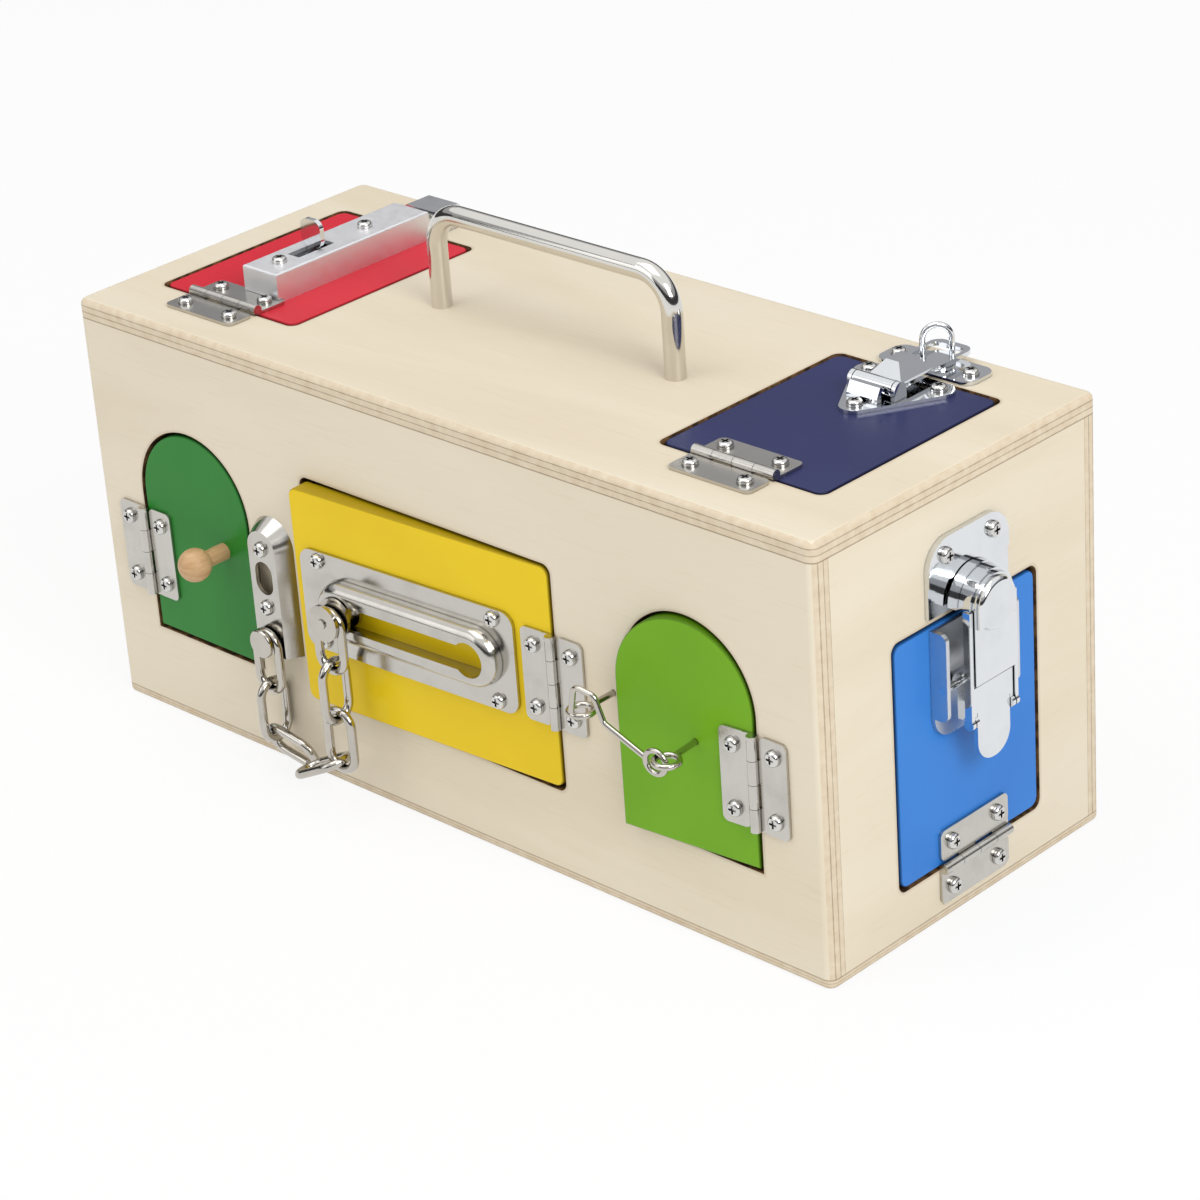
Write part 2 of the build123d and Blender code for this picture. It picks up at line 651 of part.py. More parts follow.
# A raised form with straight sides, a round top and walls that lean in, then the same form inside it
with BuildPart() as chain_bracket:
    for inset, mode in ((0, Mode.ADD), (BRACKET_SHEET, Mode.SUBTRACT)):
        with BuildSketch(front):
            with Locations((BRACKET_X, (bracket_low + bracket_spring) / 2)):
                Rectangle(BRACKET_W - 2 * inset, bracket_spring - bracket_low)
            with Locations((BRACKET_X, bracket_spring)):
                Circle(BRACKET_W / 2 - inset)
        extrude(amount=BRACKET_H - inset, taper=BRACKET_TAPER, mode=mode)
    split(bisect_by=Plane.XY.offset(BRACKET_FOOT_Z), keep=Keep.TOP)
    with BuildSketch(front):
        with Locations((BRACKET_X, BRACKET_EYE_Z)):
            SlotOverall(BRACKET_EYE_L, BRACKET_EYE_W, rotation=90)
        with Locations((BRACKET_X, RIVET_Z)):
            Circle(RIVET_SHANK_R + HOLE_CLEAR)
        with Locations(*[(BRACKET_X, v) for v in (BRACKET_SCREW_TOP_Z, BRACKET_SCREW_LOW_Z)]):
            Circle(SHANK_R + HOLE_CLEAR)
    extrude(amount=BRACKET_H, mode=Mode.SUBTRACT)
write(chain_bracket, "chain_bracket")

# The rivet holds the first link with room to turn, between the bracket and its own head
link_room = LINK_WIRE + LINK_PLAY
with BuildPart() as chain_rivet:
    with BuildSketch(front.offset(BRACKET_H - BRACKET_SHEET)):
        with Locations((BRACKET_X, RIVET_Z)):
            Circle(RIVET_SHANK_R)
    extrude(amount=BRACKET_SHEET + link_room)
    for start, thick in ((BRACKET_H - BRACKET_SHEET, -RIVET_HEAD), (BRACKET_H + link_room, RIVET_HEAD)):
        with BuildSketch(front.offset(start)):
            with Locations((BRACKET_X, RIVET_Z)):
                Circle(RIVET_HEAD_R)
        extrude(amount=thick)
    fillet(chain_rivet.edges().sort_by(Axis.Y)[0], RIVET_HEAD / 2)
write(chain_rivet, "chain_rivet")

rim_out = SLOT_PLATE + RIM_H
slot_reach = (SLOT_L - SLOT_W) / 2
track_w = 2 * (SLIDER_FLANGE_R + SLIDER_PLAY)
with BuildPart() as slot_plate:
    with BuildSketch(yellow_face):
        with Locations((SLOT_PLATE_U, SLOT_PLATE_V)):
            RectangleRounded(SLOT_PLATE_W, SLOT_PLATE_H, SLOT_PLATE_CORNER_R)
    extrude(amount=SLOT_PLATE)
    with BuildSketch(yellow_face.offset(SLOT_PLATE)):
        with Locations((RIM_U, SLOT_PLATE_V)):
            SlotOverall(RIM_L, RIM_W)
    extrude(amount=RIM_H)
    rim_top = [side for side in slot_plate.faces()
               if abs(yellow_face.to_local_coords(side.center()).Z - rim_out) < RIM_H / 10]
    fillet(rim_top[0].edges(), RIM_R)
    with BuildSketch(yellow_face):
        with Locations((RIM_U, SLOT_PLATE_V)):
            SlotOverall(2 * slot_reach + track_w, track_w)
    extrude(amount=rim_out - RIM_SHEET, mode=Mode.SUBTRACT)
    with BuildSketch(yellow_face):
        with Locations((RIM_U, SLOT_PLATE_V)):
            SlotOverall(SLOT_L, SLOT_W)
        with Locations((RIM_U + slot_reach, SLOT_PLATE_V)):
            Circle(SLOT_ENTRY_R)
    extrude(amount=rim_out, mode=Mode.SUBTRACT)
    with Locations(*slot_seats):
        Hole(SHANK_R + HOLE_CLEAR, SLOT_PLATE)
write(slot_plate, "slot_plate")

# Slider: a flange inside the track, a neck in the slot, and a collar and head that hold the link
slider_u = RIM_U - slot_reach
collar_out = rim_out + SLIDER_PLAY
link_out = collar_out + SLIDER_COLLAR
slider_steps = [
    (SLIDER_PLAY, SLIDER_FLANGE, SLIDER_FLANGE_R),
    (SLIDER_PLAY + SLIDER_FLANGE, collar_out - SLIDER_PLAY - SLIDER_FLANGE, SLIDER_NECK_R),
    (collar_out, SLIDER_COLLAR, SLIDER_COLLAR_R),
    (link_out, link_room, SLIDER_SHANK_R),
    (link_out + link_room, SLIDER_HEAD, SLIDER_HEAD_R),
    (link_out + link_room + SLIDER_HEAD, SLIDER_HEAD / 2, SLIDER_SHANK_R),
]
with BuildPart() as slider:
    for start, thick, radius in slider_steps:
        with BuildSketch(yellow_face.offset(start)):
            with Locations((slider_u, SLOT_PLATE_V)):
                Circle(radius)
        extrude(amount=thick)
write(slider, "slider")

# One chain link, upright, flat in the XZ plane and centred on the origin
link_bend = (LINK_W - LINK_WIRE) / 2
link_straight = LINK_L - LINK_W
with BuildPart() as link:
    with BuildSketch():
        with Locations((-link_bend, 0), (link_bend, 0)):
            Circle(LINK_WIRE / 2)
    extrude(amount=link_straight / 2, both=True)
    for end, arc in ((link_straight / 2, -180), (-link_straight / 2, 180)):
        with BuildSketch(Plane.XY.offset(end)):
            with Locations((link_bend, 0)):
                Circle(LINK_WIRE / 2)
        revolve(axis=Axis((0, 0, end), (0, 1, 0)), revolution_arc=arc)

link_inside = LINK_L / 2 - LINK_WIRE
link_pitch = 2 * link_inside - LINK_CLEAR
first_drop = RIVET_SHANK_R + LINK_CLEAR - link_inside


def hanging(origin, along, turns):
    """Places of links that hang one from another below a pin, each turned about the upright."""
    drops = [first_drop - i * link_pitch for i in range(len(turns))]
    upright = Plane(origin=origin, x_dir=along, z_dir=(0, 0, 1)).location
    return [upright * Pos(0, 0, drop) * Rot(0, 0, turn) for drop, turn in zip(drops, turns)]


def slanted(start, along, normal, reach):
    """The place of a link that leaves a point along a direction, its centre at the given reach."""
    return Plane(origin=start + along * reach, x_dir=normal.cross(along), z_dir=along).location


# Links on the bracket: two hang and the third leans to the slider's side of the chain
rivet_point = front.from_local_coords(Vector(BRACKET_X, RIVET_Z, BRACKET_H + link_room / 2))
case_turns = [0, 90]
lean = Vector(1, 0, 0).rotate(Axis.Y, LINK_LEAN_FALL)
low_wire = rivet_point + Vector(0, 0, first_drop - link_pitch - link_inside - LINK_WIRE / 2)
lean_normal = Vector(0, 1, 0).rotate(Axis((0, 0, 0), lean), LINK_LEAN_TWIST)
with BuildPart() as case_chain:
    with Locations(*hanging(rivet_point, front.x_dir, case_turns)):
        add(link.part)
    with Locations(slanted(low_wire, lean, lean_normal, link_inside - LINK_WIRE / 2 - LINK_CLEAR)):
        add(link.part)
write(case_chain, "case_chain")

# Links on the slider: three hang and the last lies back towards the bracket's side
slider_point = yellow_face.from_local_coords(Vector(slider_u, SLOT_PLATE_V, link_out + link_room / 2))
slider_turns = [0, 90, 0]
back = (yellow_face.x_dir * -1).rotate(Axis((0, 0, 0), yellow_face.z_dir), LINK_BACK_FALL)
last_drop = first_drop - 2 * link_pitch - link_inside + LINK_WIRE / 2 + LINK_CLEAR
last_wire = slider_point + Vector(0, 0, last_drop)
with BuildPart() as slider_chain:
    with Locations(*hanging(slider_point, yellow_face.x_dir, slider_turns)):
        add(link.part)
    with Locations(slanted(last_wire, back, yellow_face.z_dir.cross(back), link_inside + LINK_WIRE / 2)):
        add(link.part)
write(slider_chain, "slider_chain")

# Hook and eyes: each eye is a wire ring lying level on a shank
eyes = (("wall_eye", front, WALL_EYE_X, WALL_EYE_Z), ("door_eye", lime_face, DOOR_EYE_U, DOOR_EYE_V))
for eye_name, face, u, v in eyes:
    shank_l = EYE_STANDOFF - EYE_RING_R + EYE_BITE
    with BuildPart() as eye:
        with Locations(seat(face, u, v, shank_l / 2 - EYE_BITE)):
            Cylinder(EYE_WIRE / 2, shank_l)
        with Locations(face.from_local_coords(Vector(u, v, EYE_STANDOFF))):
            Torus(EYE_RING_R, EYE_WIRE / 2)
    write(eye, eye_name)

# The hook turns on the side of the door's eye and stands just clear above the other eye
door_ring = lime_face.from_local_coords(Vector(DOOR_EYE_U, DOOR_EYE_V, EYE_STANDOFF))
hook_pivot = door_ring - lime_face.x_dir * EYE_RING_R
hook_reach = hook_pivot.X - WALL_EYE_X
hook_x = lime_face.x_dir.rotate(Axis((0, 0, 0), lime_face.z_dir), -HOOK_LIFT)
hook_plane = Plane(origin=hook_pivot, x_dir=hook_x, z_dir=lime_face.z_dir)
hook_drop = HOOK_EYE_R - HOOK_WIRE / 2 - EYE_WIRE / 2 - HOOK_EYE_PLAY
with BuildPart() as hook:
    with BuildLine(hook_plane) as hook_path:
        FilletPolyline(
            (-HOOK_EYE_R, -hook_drop),
            (-hook_reach * HOOK_KNEE, HOOK_DIP),
            (-hook_reach * HOOK_SHOULDER, HOOK_RISE),
            (-hook_reach, HOOK_RISE),
            (-hook_reach, HOOK_TAIL_V),
            radius=HOOK_BEND_R,
        )
    with BuildSketch(Plane(origin=hook_path.line @ 0, z_dir=hook_path.line % 0)):
        Circle(HOOK_WIRE / 2)
    sweep()
    with Locations(hook_plane.location * Pos(0, -hook_drop, 0)):
        Torus(HOOK_EYE_R, HOOK_WIRE / 2)
write(hook, "hook")

# Draw latch, drawn in profile: up the end along local x, out of it along local y
latch_foot = right_end.from_local_coords(Vector(LATCH_U, 0, 0))
latch_side = Plane(origin=latch_foot, x_dir=(0, 0, 1), z_dir=(0, 1, 0))
with BuildPart() as latch_strike:
    with BuildSketch(right_end) as strike_outline:
        with Locations((LATCH_U, (STRIKE_FOOT_V + STRIKE_TOP_V) / 2)):
            Rectangle(STRIKE_W, STRIKE_TOP_V - STRIKE_FOOT_V)
        fillet(strike_outline.vertices().group_by(Axis.Y)[-1], STRIKE_CORNER_R)
    extrude(amount=STRIKE)
    with BuildSketch(latch_side):
        with BuildLine():
            Polyline(
                (STRIKE_LIP_FOOT_V, 0),
                (STRIKE_LIP_FOOT_V, STRIKE_LIP_OUT),
                (STRIKE_LIP_TOP_V, STRIKE_LIP_OUT),
                (STRIKE_LIP_TOP_V, STRIKE_LIP_OUT - STRIKE_LIP_SHEET),
                (STRIKE_LIP_FOOT_V + STRIKE_LIP_SHEET, STRIKE_LIP_OUT - STRIKE_LIP_SHEET),
                (STRIKE_LIP_FOOT_V + STRIKE_LIP_SHEET, 0),
                close=True,
            )
        make_face()
    extrude(amount=STRIKE_LIP_W / 2, both=True)
    with BuildSketch(right_end.offset(STRIKE)) as pad_outline:
        with Locations((LATCH_U, STRIKE_TOP_V)):
            Rectangle(STRIKE_W, STRIKE_TOP_V - STRIKE_PAD_FOOT_V, align=(Align.CENTER, Align.MAX))
        fillet(pad_outline.vertices().group_by(Axis.Y)[-1], STRIKE_CORNER_R)
    extrude(amount=STRIKE_PAD)
    with Locations(*strike_seats):
        Hole(SHANK_R + HOLE_CLEAR, strike_out)
write(latch_strike, "latch_strike")

loop_half_w = LEVER_W / 2 + LATCH_SIDE_PLAY + LOOP_SHEET
lever_pivot = (LEVER_PIVOT_V, LEVER_PIVOT_OUT)
loop_pivot = (LEVER_PIVOT_V - LOOP_PIVOT_DROP, LOOP_PIVOT_OUT)
rim_foot_v = LATCH_BASE_FOOT_V + LATCH_BASE_CORNER_R
with BuildPart() as latch_base:
    with BuildSketch(right_end) as base_outline:
        with Locations((LATCH_U, (LATCH_BASE_FOOT_V + LATCH_BASE_TOP_V) / 2)):
            Rectangle(LATCH_BASE_W, LATCH_BASE_TOP_V - LATCH_BASE_FOOT_V)
        fillet(base_outline.vertices().group_by(Axis.Y)[0], LATCH_BASE_CORNER_R)
    extrude(amount=LATCH_BASE)
    for side in (-1, 1):
        with BuildSketch(latch_side.offset(side * LATCH_BASE_W / 2)) as rim_outline:
            with Locations((rim_foot_v, 0)):
                Rectangle(LATCH_BASE_TOP_V - rim_foot_v, LATCH_RIM_OUT, align=Align.MIN)
            fillet(rim_outline.vertices().group_by(Axis.Y)[-1], LATCH_RIM_R)
            with Locations(lever_pivot):
                Circle(LATCH_PIN_R, mode=Mode.SUBTRACT)
        extrude(amount=-side * LATCH_RIM)
    with Locations(*latch_seats):
        Hole(SHANK_R + HOLE_CLEAR, LATCH_BASE)
write(latch_base, "latch_base")

# Lever: a finger tab with a wide shoulder, and two side plates that carry both pins
with BuildPart() as latch_lever:
    with BuildSketch(right_end.offset(LEVER_OUT)) as tab_outline:
        with Locations((LATCH_U, LEVER_TIP_V)):
            Rectangle(LEVER_TAB_W, LEVER_TOP_V - LEVER_TIP_V, align=(Align.CENTER, Align.MIN))
        fillet(tab_outline.vertices().group_by(Axis.Y)[0], LEVER_END_R)
        with Locations((LATCH_U, LEVER_STEP_V)):
            Rectangle(LEVER_W, LEVER_TOP_V - LEVER_STEP_V, align=(Align.CENTER, Align.MIN))
    extrude(amount=-LEVER_SHEET)
    for side in (-1, 1):
        with BuildSketch(latch_side.offset(side * LEVER_W / 2)):
            with Locations((loop_pivot[0], LEVER_SIDE_IN)):
                Rectangle(LEVER_TOP_V - loop_pivot[0], LEVER_OUT - LEVER_SIDE_IN, align=Align.MIN)
            with Locations(lever_pivot):
                Circle(LEVER_EYE_R)
                Circle(LATCH_PIN_R + PIN_CLEAR, mode=Mode.SUBTRACT)
            with Locations(loop_pivot):
                Circle(LOOP_EYE_R)
                Circle(LATCH_PIN_R, mode=Mode.SUBTRACT)
        extrude(amount=-side * LEVER_SHEET)
write(latch_lever, "latch_lever")

# Loop: two legs on the lever, a face with a round top, a wall behind its edge that reaches in
# behind the strike's lip, and a cap
arch_v = LOOP_TOP_V - loop_half_w
with BuildPart() as latch_loop:
    for start, end, radius in (
        (LOOP_INNER_OUT, LOOP_STEP_OUT, loop_half_w),
        (LOOP_STEP_OUT, LOOP_OUT - LOOP_FACE, loop_half_w - LOOP_STEP_IN),
    ):
        with BuildSketch(right_end.offset(start)):
            with Locations((LATCH_U, arch_v)):
                Circle(radius)
                Circle(loop_half_w - LOOP_BAND, mode=Mode.SUBTRACT)
                Rectangle(2 * radius, radius, align=(Align.CENTER, Align.MAX), mode=Mode.SUBTRACT)
        extrude(amount=end - start)
    with BuildSketch(right_end.offset(LOOP_OUT)):
        with Locations((LATCH_U, arch_v)):
            Circle(LEVER_W / 2)
            Rectangle(LEVER_W, arch_v - LOOP_FACE_FOOT_V, align=(Align.CENTER, Align.MAX))
    extrude(amount=-LOOP_FACE)
    with BuildSketch(right_end.offset(LOOP_OUT)):
        with Locations((LATCH_U, arch_v)):
            Circle(LOOP_CAP_R)
            Rectangle(2 * LOOP_CAP_R, arch_v - LOOP_CAP_FOOT_V, align=(Align.CENTER, Align.MAX))
    extrude(amount=LOOP_CAP)
    fillet(latch_loop.faces().sort_by(Axis.X)[-1].edges(), LOOP_CAP_EDGE_R)
    for side in (-1, 1):
        with BuildSketch(latch_side.offset(side * (loop_half_w - LOOP_SHEET))):
            with Locations((loop_pivot[0], LOOP_PIVOT_OUT - LOOP_LEG_D / 2)):
                Rectangle(arch_v - loop_pivot[0], LOOP_LEG_D, align=Align.MIN)
            with Locations(loop_pivot):
                Circle(LOOP_EYE_R)
                Circle(LATCH_PIN_R + PIN_CLEAR, mode=Mode.SUBTRACT)
        extrude(amount=side * LOOP_SHEET)
write(latch_loop, "latch_loop")

with BuildPart() as latch_lever_pin:
    with BuildSketch(latch_side):
        with Locations(lever_pivot):
            Circle(LATCH_PIN_R)
    extrude(amount=LATCH_BASE_W / 2, both=True)
write(latch_lever_pin, "latch_lever_pin")

# The loop turns on two short rivets, one in each side plate of the lever
with BuildPart() as latch_loop_pin:
    for side in (-1, 1):
        with BuildSketch(latch_side.offset(side * (LEVER_W / 2 - LEVER_SHEET))):
            with Locations(loop_pivot):
                Circle(LATCH_PIN_R)
        extrude(amount=side * (loop_half_w - LEVER_W / 2 + LEVER_SHEET))
write(latch_loop_pin, "latch_loop_pin")

# Square bolt on the red lid: a sheet housing, closed at the front and raised over the hinge leaf
leaf_edge_v = red_line + HINGE_HALF_W
fin_slot_front = FIN_V - FIN / 2 - BOLT_DRAW - SLOT_SIDE_PLAY
fin_slot_rear = FIN_V + FIN / 2 + BOLT_THROW + SLOT_SIDE_PLAY
fin_slot_l = fin_slot_rear - fin_slot_front
housing_l = HOUSING_REAR_V - HOUSING_FRONT_V
with BuildPart() as bolt_housing:
    with BuildSketch(top):
        with Locations((BOLT_U, HOUSING_FRONT_V)):
            Rectangle(HOUSING_W, housing_l, align=(Align.CENTER, Align.MIN))
    extrude(amount=HOUSING_H)
    fillet(bolt_housing.faces().sort_by(Axis.Z)[-1].edges(), HOUSING_SHEET / 2)
    with BuildSketch(top):
        with Locations((BOLT_U, HOUSING_FRONT_V + HOUSING_SHEET)):
            Rectangle(HOUSING_W - 2 * HOUSING_SHEET, housing_l, align=(Align.CENTER, Align.MIN))
    extrude(amount=HOUSING_H - HOUSING_SHEET, mode=Mode.SUBTRACT)
    with BuildSketch(top):
        with Locations((BOLT_U, leaf_edge_v + SLOT_SIDE_PLAY)):
            Rectangle(HOUSING_W, HOUSING_W, align=(Align.CENTER, Align.MAX))
    extrude(amount=LEAF + HOLE_CLEAR, mode=Mode.SUBTRACT)
    with BuildSketch(top):
        with Locations((BOLT_U, fin_slot_front)):
            Rectangle(FIN_NECK_W + 2 * SLOT_SIDE_PLAY, fin_slot_l, align=(Align.CENTER, Align.MIN))
    extrude(amount=HOUSING_H, mode=Mode.SUBTRACT)
    with Locations(*housing_seats):
        Hole(SHANK_R + HOLE_CLEAR, HOUSING_SHEET)
write(bolt_housing, "bolt_housing")

# The bolt clears both housing screws: its tail stops short of one and a slot runs past the other
bolt_tail = HOUSING_SCREW_FRONT_V + SHANK_R + BOLT_DRAW + SLOT_SIDE_PLAY
bolt_nose = BOLT_STRIKE_V - BOLT_NOSE_GAP
bolt_slot_l = BOLT_DRAW + BOLT_THROW + 2 * (SHANK_R + SLOT_SIDE_PLAY)
bolt_slot_v = HOUSING_SCREW_REAR_V + (BOLT_DRAW - BOLT_THROW) / 2
fin_foot = BOLT_GROUND + BOLT_H / 2
fin_side = Plane(origin=top.from_local_coords(Vector(BOLT_U, FIN_V, 0)), x_dir=(1, 0, 0), z_dir=(0, -1, 0))
with BuildPart() as bolt:
    with BuildSketch(top.offset(BOLT_GROUND)):
        with Locations((BOLT_U, bolt_tail)):
            Rectangle(BOLT_W, bolt_nose - bolt_tail, align=(Align.CENTER, Align.MIN))
    extrude(amount=BOLT_H)
    chamfer(bolt.faces().sort_by(Axis.Y)[-1].edges(), BOLT_NOSE_GAP)
    with BuildSketch(top.offset(BOLT_GROUND)):
        with Locations((BOLT_U, bolt_slot_v)):
            SlotOverall(bolt_slot_l, 2 * (SHANK_R + SLOT_SIDE_PLAY), rotation=90)
    extrude(amount=BOLT_H, mode=Mode.SUBTRACT)
    with BuildSketch(fin_side):
        with Locations((0, fin_foot)):
            Rectangle(FIN_NECK_W, HOUSING_H + FIN_RISE / 2 - fin_foot, align=(Align.CENTER, Align.MIN))
        with Locations((0, HOUSING_H + SLOT_SIDE_PLAY + FIN_RISE / 2)):
            RectangleRounded(FIN_W, FIN_RISE, FIN_W / 3)
    extrude(amount=FIN / 2, both=True)
write(bolt, "bolt")

# Bolt strike: a square staple on the top panel, with two prongs let into the ply
staple_u = (HOUSING_W - HOUSING_SHEET) / 2
staple_v = BOLT_STRIKE_V + BOLT_STRIKE_L / 2
with BuildPart() as bolt_strike:
    with BuildSketch(top):
        with Locations((BOLT_U, staple_v)):
            Rectangle(HOUSING_W, BOLT_STRIKE_L)
    extrude(amount=BOLT_STRIKE_H)
    fillet(bolt_strike.faces().sort_by(Axis.Z)[-1].edges().filter_by(Axis.Y), HOUSING_SHEET)
    with BuildSketch(top):
        with Locations((BOLT_U, staple_v)):
            Rectangle(HOUSING_W - 2 * HOUSING_SHEET, BOLT_STRIKE_L)
    extrude(amount=BOLT_STRIKE_H - HOUSING_SHEET, mode=Mode.SUBTRACT)
    with BuildSketch(top):
        with Locations(*[(BOLT_U + i * staple_u, staple_v) for i in (-1, 1)]):
            Circle(BOLT_STRIKE_PRONG_R)
    extrude(amount=-BOLT_STRIKE_PRONG_L)
write(bolt_strike, "bolt_strike")

# Hasp, drawn in profile: along the lid in local x, up in local y
hasp_side = Plane(origin=top.from_local_coords(Vector(HASP_U, 0, 0)), x_dir=(0, 1, 0), z_dir=(1, 0, 0))
hasp_pivot = (HASP_PIVOT_V, HASP_PIVOT_OUT)
hasp_ear_in = HASP_ARM_W / 2 + HASP_SIDE_PLAY
with BuildPart() as hasp_plate:
    with BuildSketch(top):
        with Locations(*hasp_points):
            Circle(HASP_LOBE_R)
        make_hull()
    extrude(amount=HASP_PLATE)
    for side in (-1, 1):
        with BuildSketch(hasp_side.offset(side * hasp_ear_in)):
            with Locations((HASP_PIVOT_V, 0)):
                Rectangle(2 * HASP_EAR_R, HASP_PIVOT_OUT, align=(Align.CENTER, Align.MIN))
            with Locations(hasp_pivot):
                Circle(HASP_EAR_R)
                Circle(HASP_PIN_R, mode=Mode.SUBTRACT)
        extrude(amount=side * HASP_EAR)
    with BuildSketch(hasp_side):
        with BuildLine():
            Polyline(
                (HASP_WEDGE_V, 0),
                (HASP_WEDGE_V, HASP_PLATE + HASP_EAR),
                (HASP_WEDGE_V + HASP_WEDGE_L / 2, HASP_PLATE + HASP_WEDGE_H),
                (HASP_WEDGE_V + HASP_WEDGE_L, HASP_PLATE + HASP_WEDGE_H),
                (HASP_WEDGE_V + HASP_WEDGE_L, 0),
                close=True,
            )
        make_face()
    extrude(amount=HASP_WEDGE_W / 2, both=True)
    with Locations(*hasp_seats):
        Hole(SHANK_R + HOLE_CLEAR, HASP_PLATE)
write(hasp_plate, "hasp_plate")

window_v = RING_V + HASP_WINDOW_LEAD
with BuildPart() as hasp_arm:
    with BuildSketch(top.offset(HASP_ARM_OUT)) as arm_outline:
        with Locations((HASP_U, HASP_PIVOT_V)):
            Rectangle(HASP_ARM_W, HASP_ARM_TIP_V - HASP_PIVOT_V, align=(Align.CENTER, Align.MIN))
        fillet(arm_outline.vertices().group_by(Axis.Y)[-1], HASP_ARM_W / 4)
        with Locations((HASP_U, window_v)):
            RectangleRounded(HASP_WINDOW_W, HASP_WINDOW_L, HASP_ARM, mode=Mode.SUBTRACT)
    extrude(amount=HASP_ARM)
    with BuildSketch(top.offset(HASP_ARM_OUT + HASP_ARM)):
        with Locations((HASP_U, HASP_HUMP_V)):
            Rectangle(HASP_HUMP_W, HASP_HUMP_L)
    extrude(amount=HASP_HUMP_H, taper=HASP_HUMP_TAPER)
    with BuildSketch(hasp_side):
        with Locations(hasp_pivot):
            Circle(HASP_BARREL_R)
    extrude(amount=HASP_ARM_W / 2, both=True)
    with BuildSketch(hasp_side):
        with Locations(hasp_pivot):
            Circle(HASP_PIN_R + PIN_CLEAR)
    extrude(amount=HASP_ARM_W / 2, both=True, mode=Mode.SUBTRACT)
write(hasp_arm, "hasp_arm")

with BuildPart() as hasp_pin:
    with BuildSketch(hasp_side):
        with Locations(hasp_pivot):
            Circle(HASP_PIN_R)
    extrude(amount=hasp_ear_in + HASP_EAR, both=True)
write(hasp_pin, "hasp_pin")

with BuildPart() as hasp_strike:
    with BuildSketch(top):
        with Locations((HASP_U, HASP_STRIKE_V)):
            RectangleRounded(HASP_STRIKE_W, HASP_STRIKE_D, HASP_STRIKE_R)
        with Locations((HASP_U, RING_V)):
            Circle(RING_STEM_R + PIN_CLEAR, mode=Mode.SUBTRACT)
    extrude(amount=HASP_PLATE)
    with Locations(*hasp_strike_seats):
        Hole(SHANK_R + HOLE_CLEAR, HASP_PLATE)
write(hasp_strike, "hasp_strike")

# Padlock ring: an arch of wire on a round foot, free to turn on a stem through the strike
ring_x = Vector(1, 0, 0).rotate(Axis.Z, RING_TURN)
ring_frame = Plane(origin=top.from_local_coords(Vector(HASP_U, RING_V, 0)), x_dir=ring_x, z_dir=(0, 0, 1))
ring_foot = HASP_PLATE + PIN_CLEAR
ring_bend = RING_TOP_OUT - RING_WIRE / 2 - RING_W / 2
with BuildPart() as padlock_ring:
    with BuildSketch(ring_frame.offset(ring_foot)):
        Circle(RING_FOOT_R)
    extrude(amount=RING_FOOT)
    with BuildSketch(ring_frame.offset(ring_foot)):
        Circle(RING_STEM_R)
    extrude(amount=-(ring_foot + PLY / 2 - HASP_PLATE))
    with BuildSketch(ring_frame.offset(ring_foot)):
        with Locations((-RING_W / 2, 0), (RING_W / 2, 0)):
            Circle(RING_WIRE / 2)
    extrude(amount=ring_bend - ring_foot)
    with BuildSketch(ring_frame.offset(ring_bend)):
        with Locations((RING_W / 2, 0)):
            Circle(RING_WIRE / 2)
    revolve(axis=Axis(ring_frame.offset(ring_bend).origin, ring_frame.y_dir), revolution_arc=-180)
write(padlock_ring, "padlock_ring")
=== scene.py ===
"""Dresses the wooden lock box: birch ply case, painted doors and lids, plated locks and hinges."""

import logging
from dataclasses import dataclass, replace
from enum import IntEnum
from functools import reduce

import bpy
import numpy as np
from mathutils import Matrix, Vector

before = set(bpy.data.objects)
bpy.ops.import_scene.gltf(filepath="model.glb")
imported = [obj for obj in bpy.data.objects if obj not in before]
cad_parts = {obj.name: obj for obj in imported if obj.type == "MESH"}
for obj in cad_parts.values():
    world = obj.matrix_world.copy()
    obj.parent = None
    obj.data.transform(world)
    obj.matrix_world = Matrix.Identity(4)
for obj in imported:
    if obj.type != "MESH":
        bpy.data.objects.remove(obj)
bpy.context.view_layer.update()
LOG = logging.getLogger("lock_box")
MM_PER_M = 1000.0
WHITE = (1.0, 1.0, 1.0, 1.0)
Colour = tuple[float, float, float]
Point = tuple[float, float, float]


class Axis(IntEnum):
    """The axes of the shared frame, as indices."""

    X = 0
    Y = 1
    Z = 2


FRONT_FACE = (Axis.X, Axis.Z)
TOP_FACE = (Axis.X, Axis.Y)
END_FACE = (Axis.Y, Axis.Z)


def even(cells: float) -> Point:
    """Noise scale that is the same along each axis.

    Args:
        cells: cells per metre.

    Returns:
        The scale along X, Y and Z.
    """
    return cells, cells, cells


def stretched(grain: Axis, along: float, across: float) -> Point:
    """Noise scale that is long along the grain.

    Args:
        grain: the axis that the fibres follow.
        along: cells per metre along the fibres.
        across: cells per metre across them.

    Returns:
        The scale along X, Y and Z.
    """
    scale = [across, across, across]
    scale[grain] = along
    return tuple(scale)


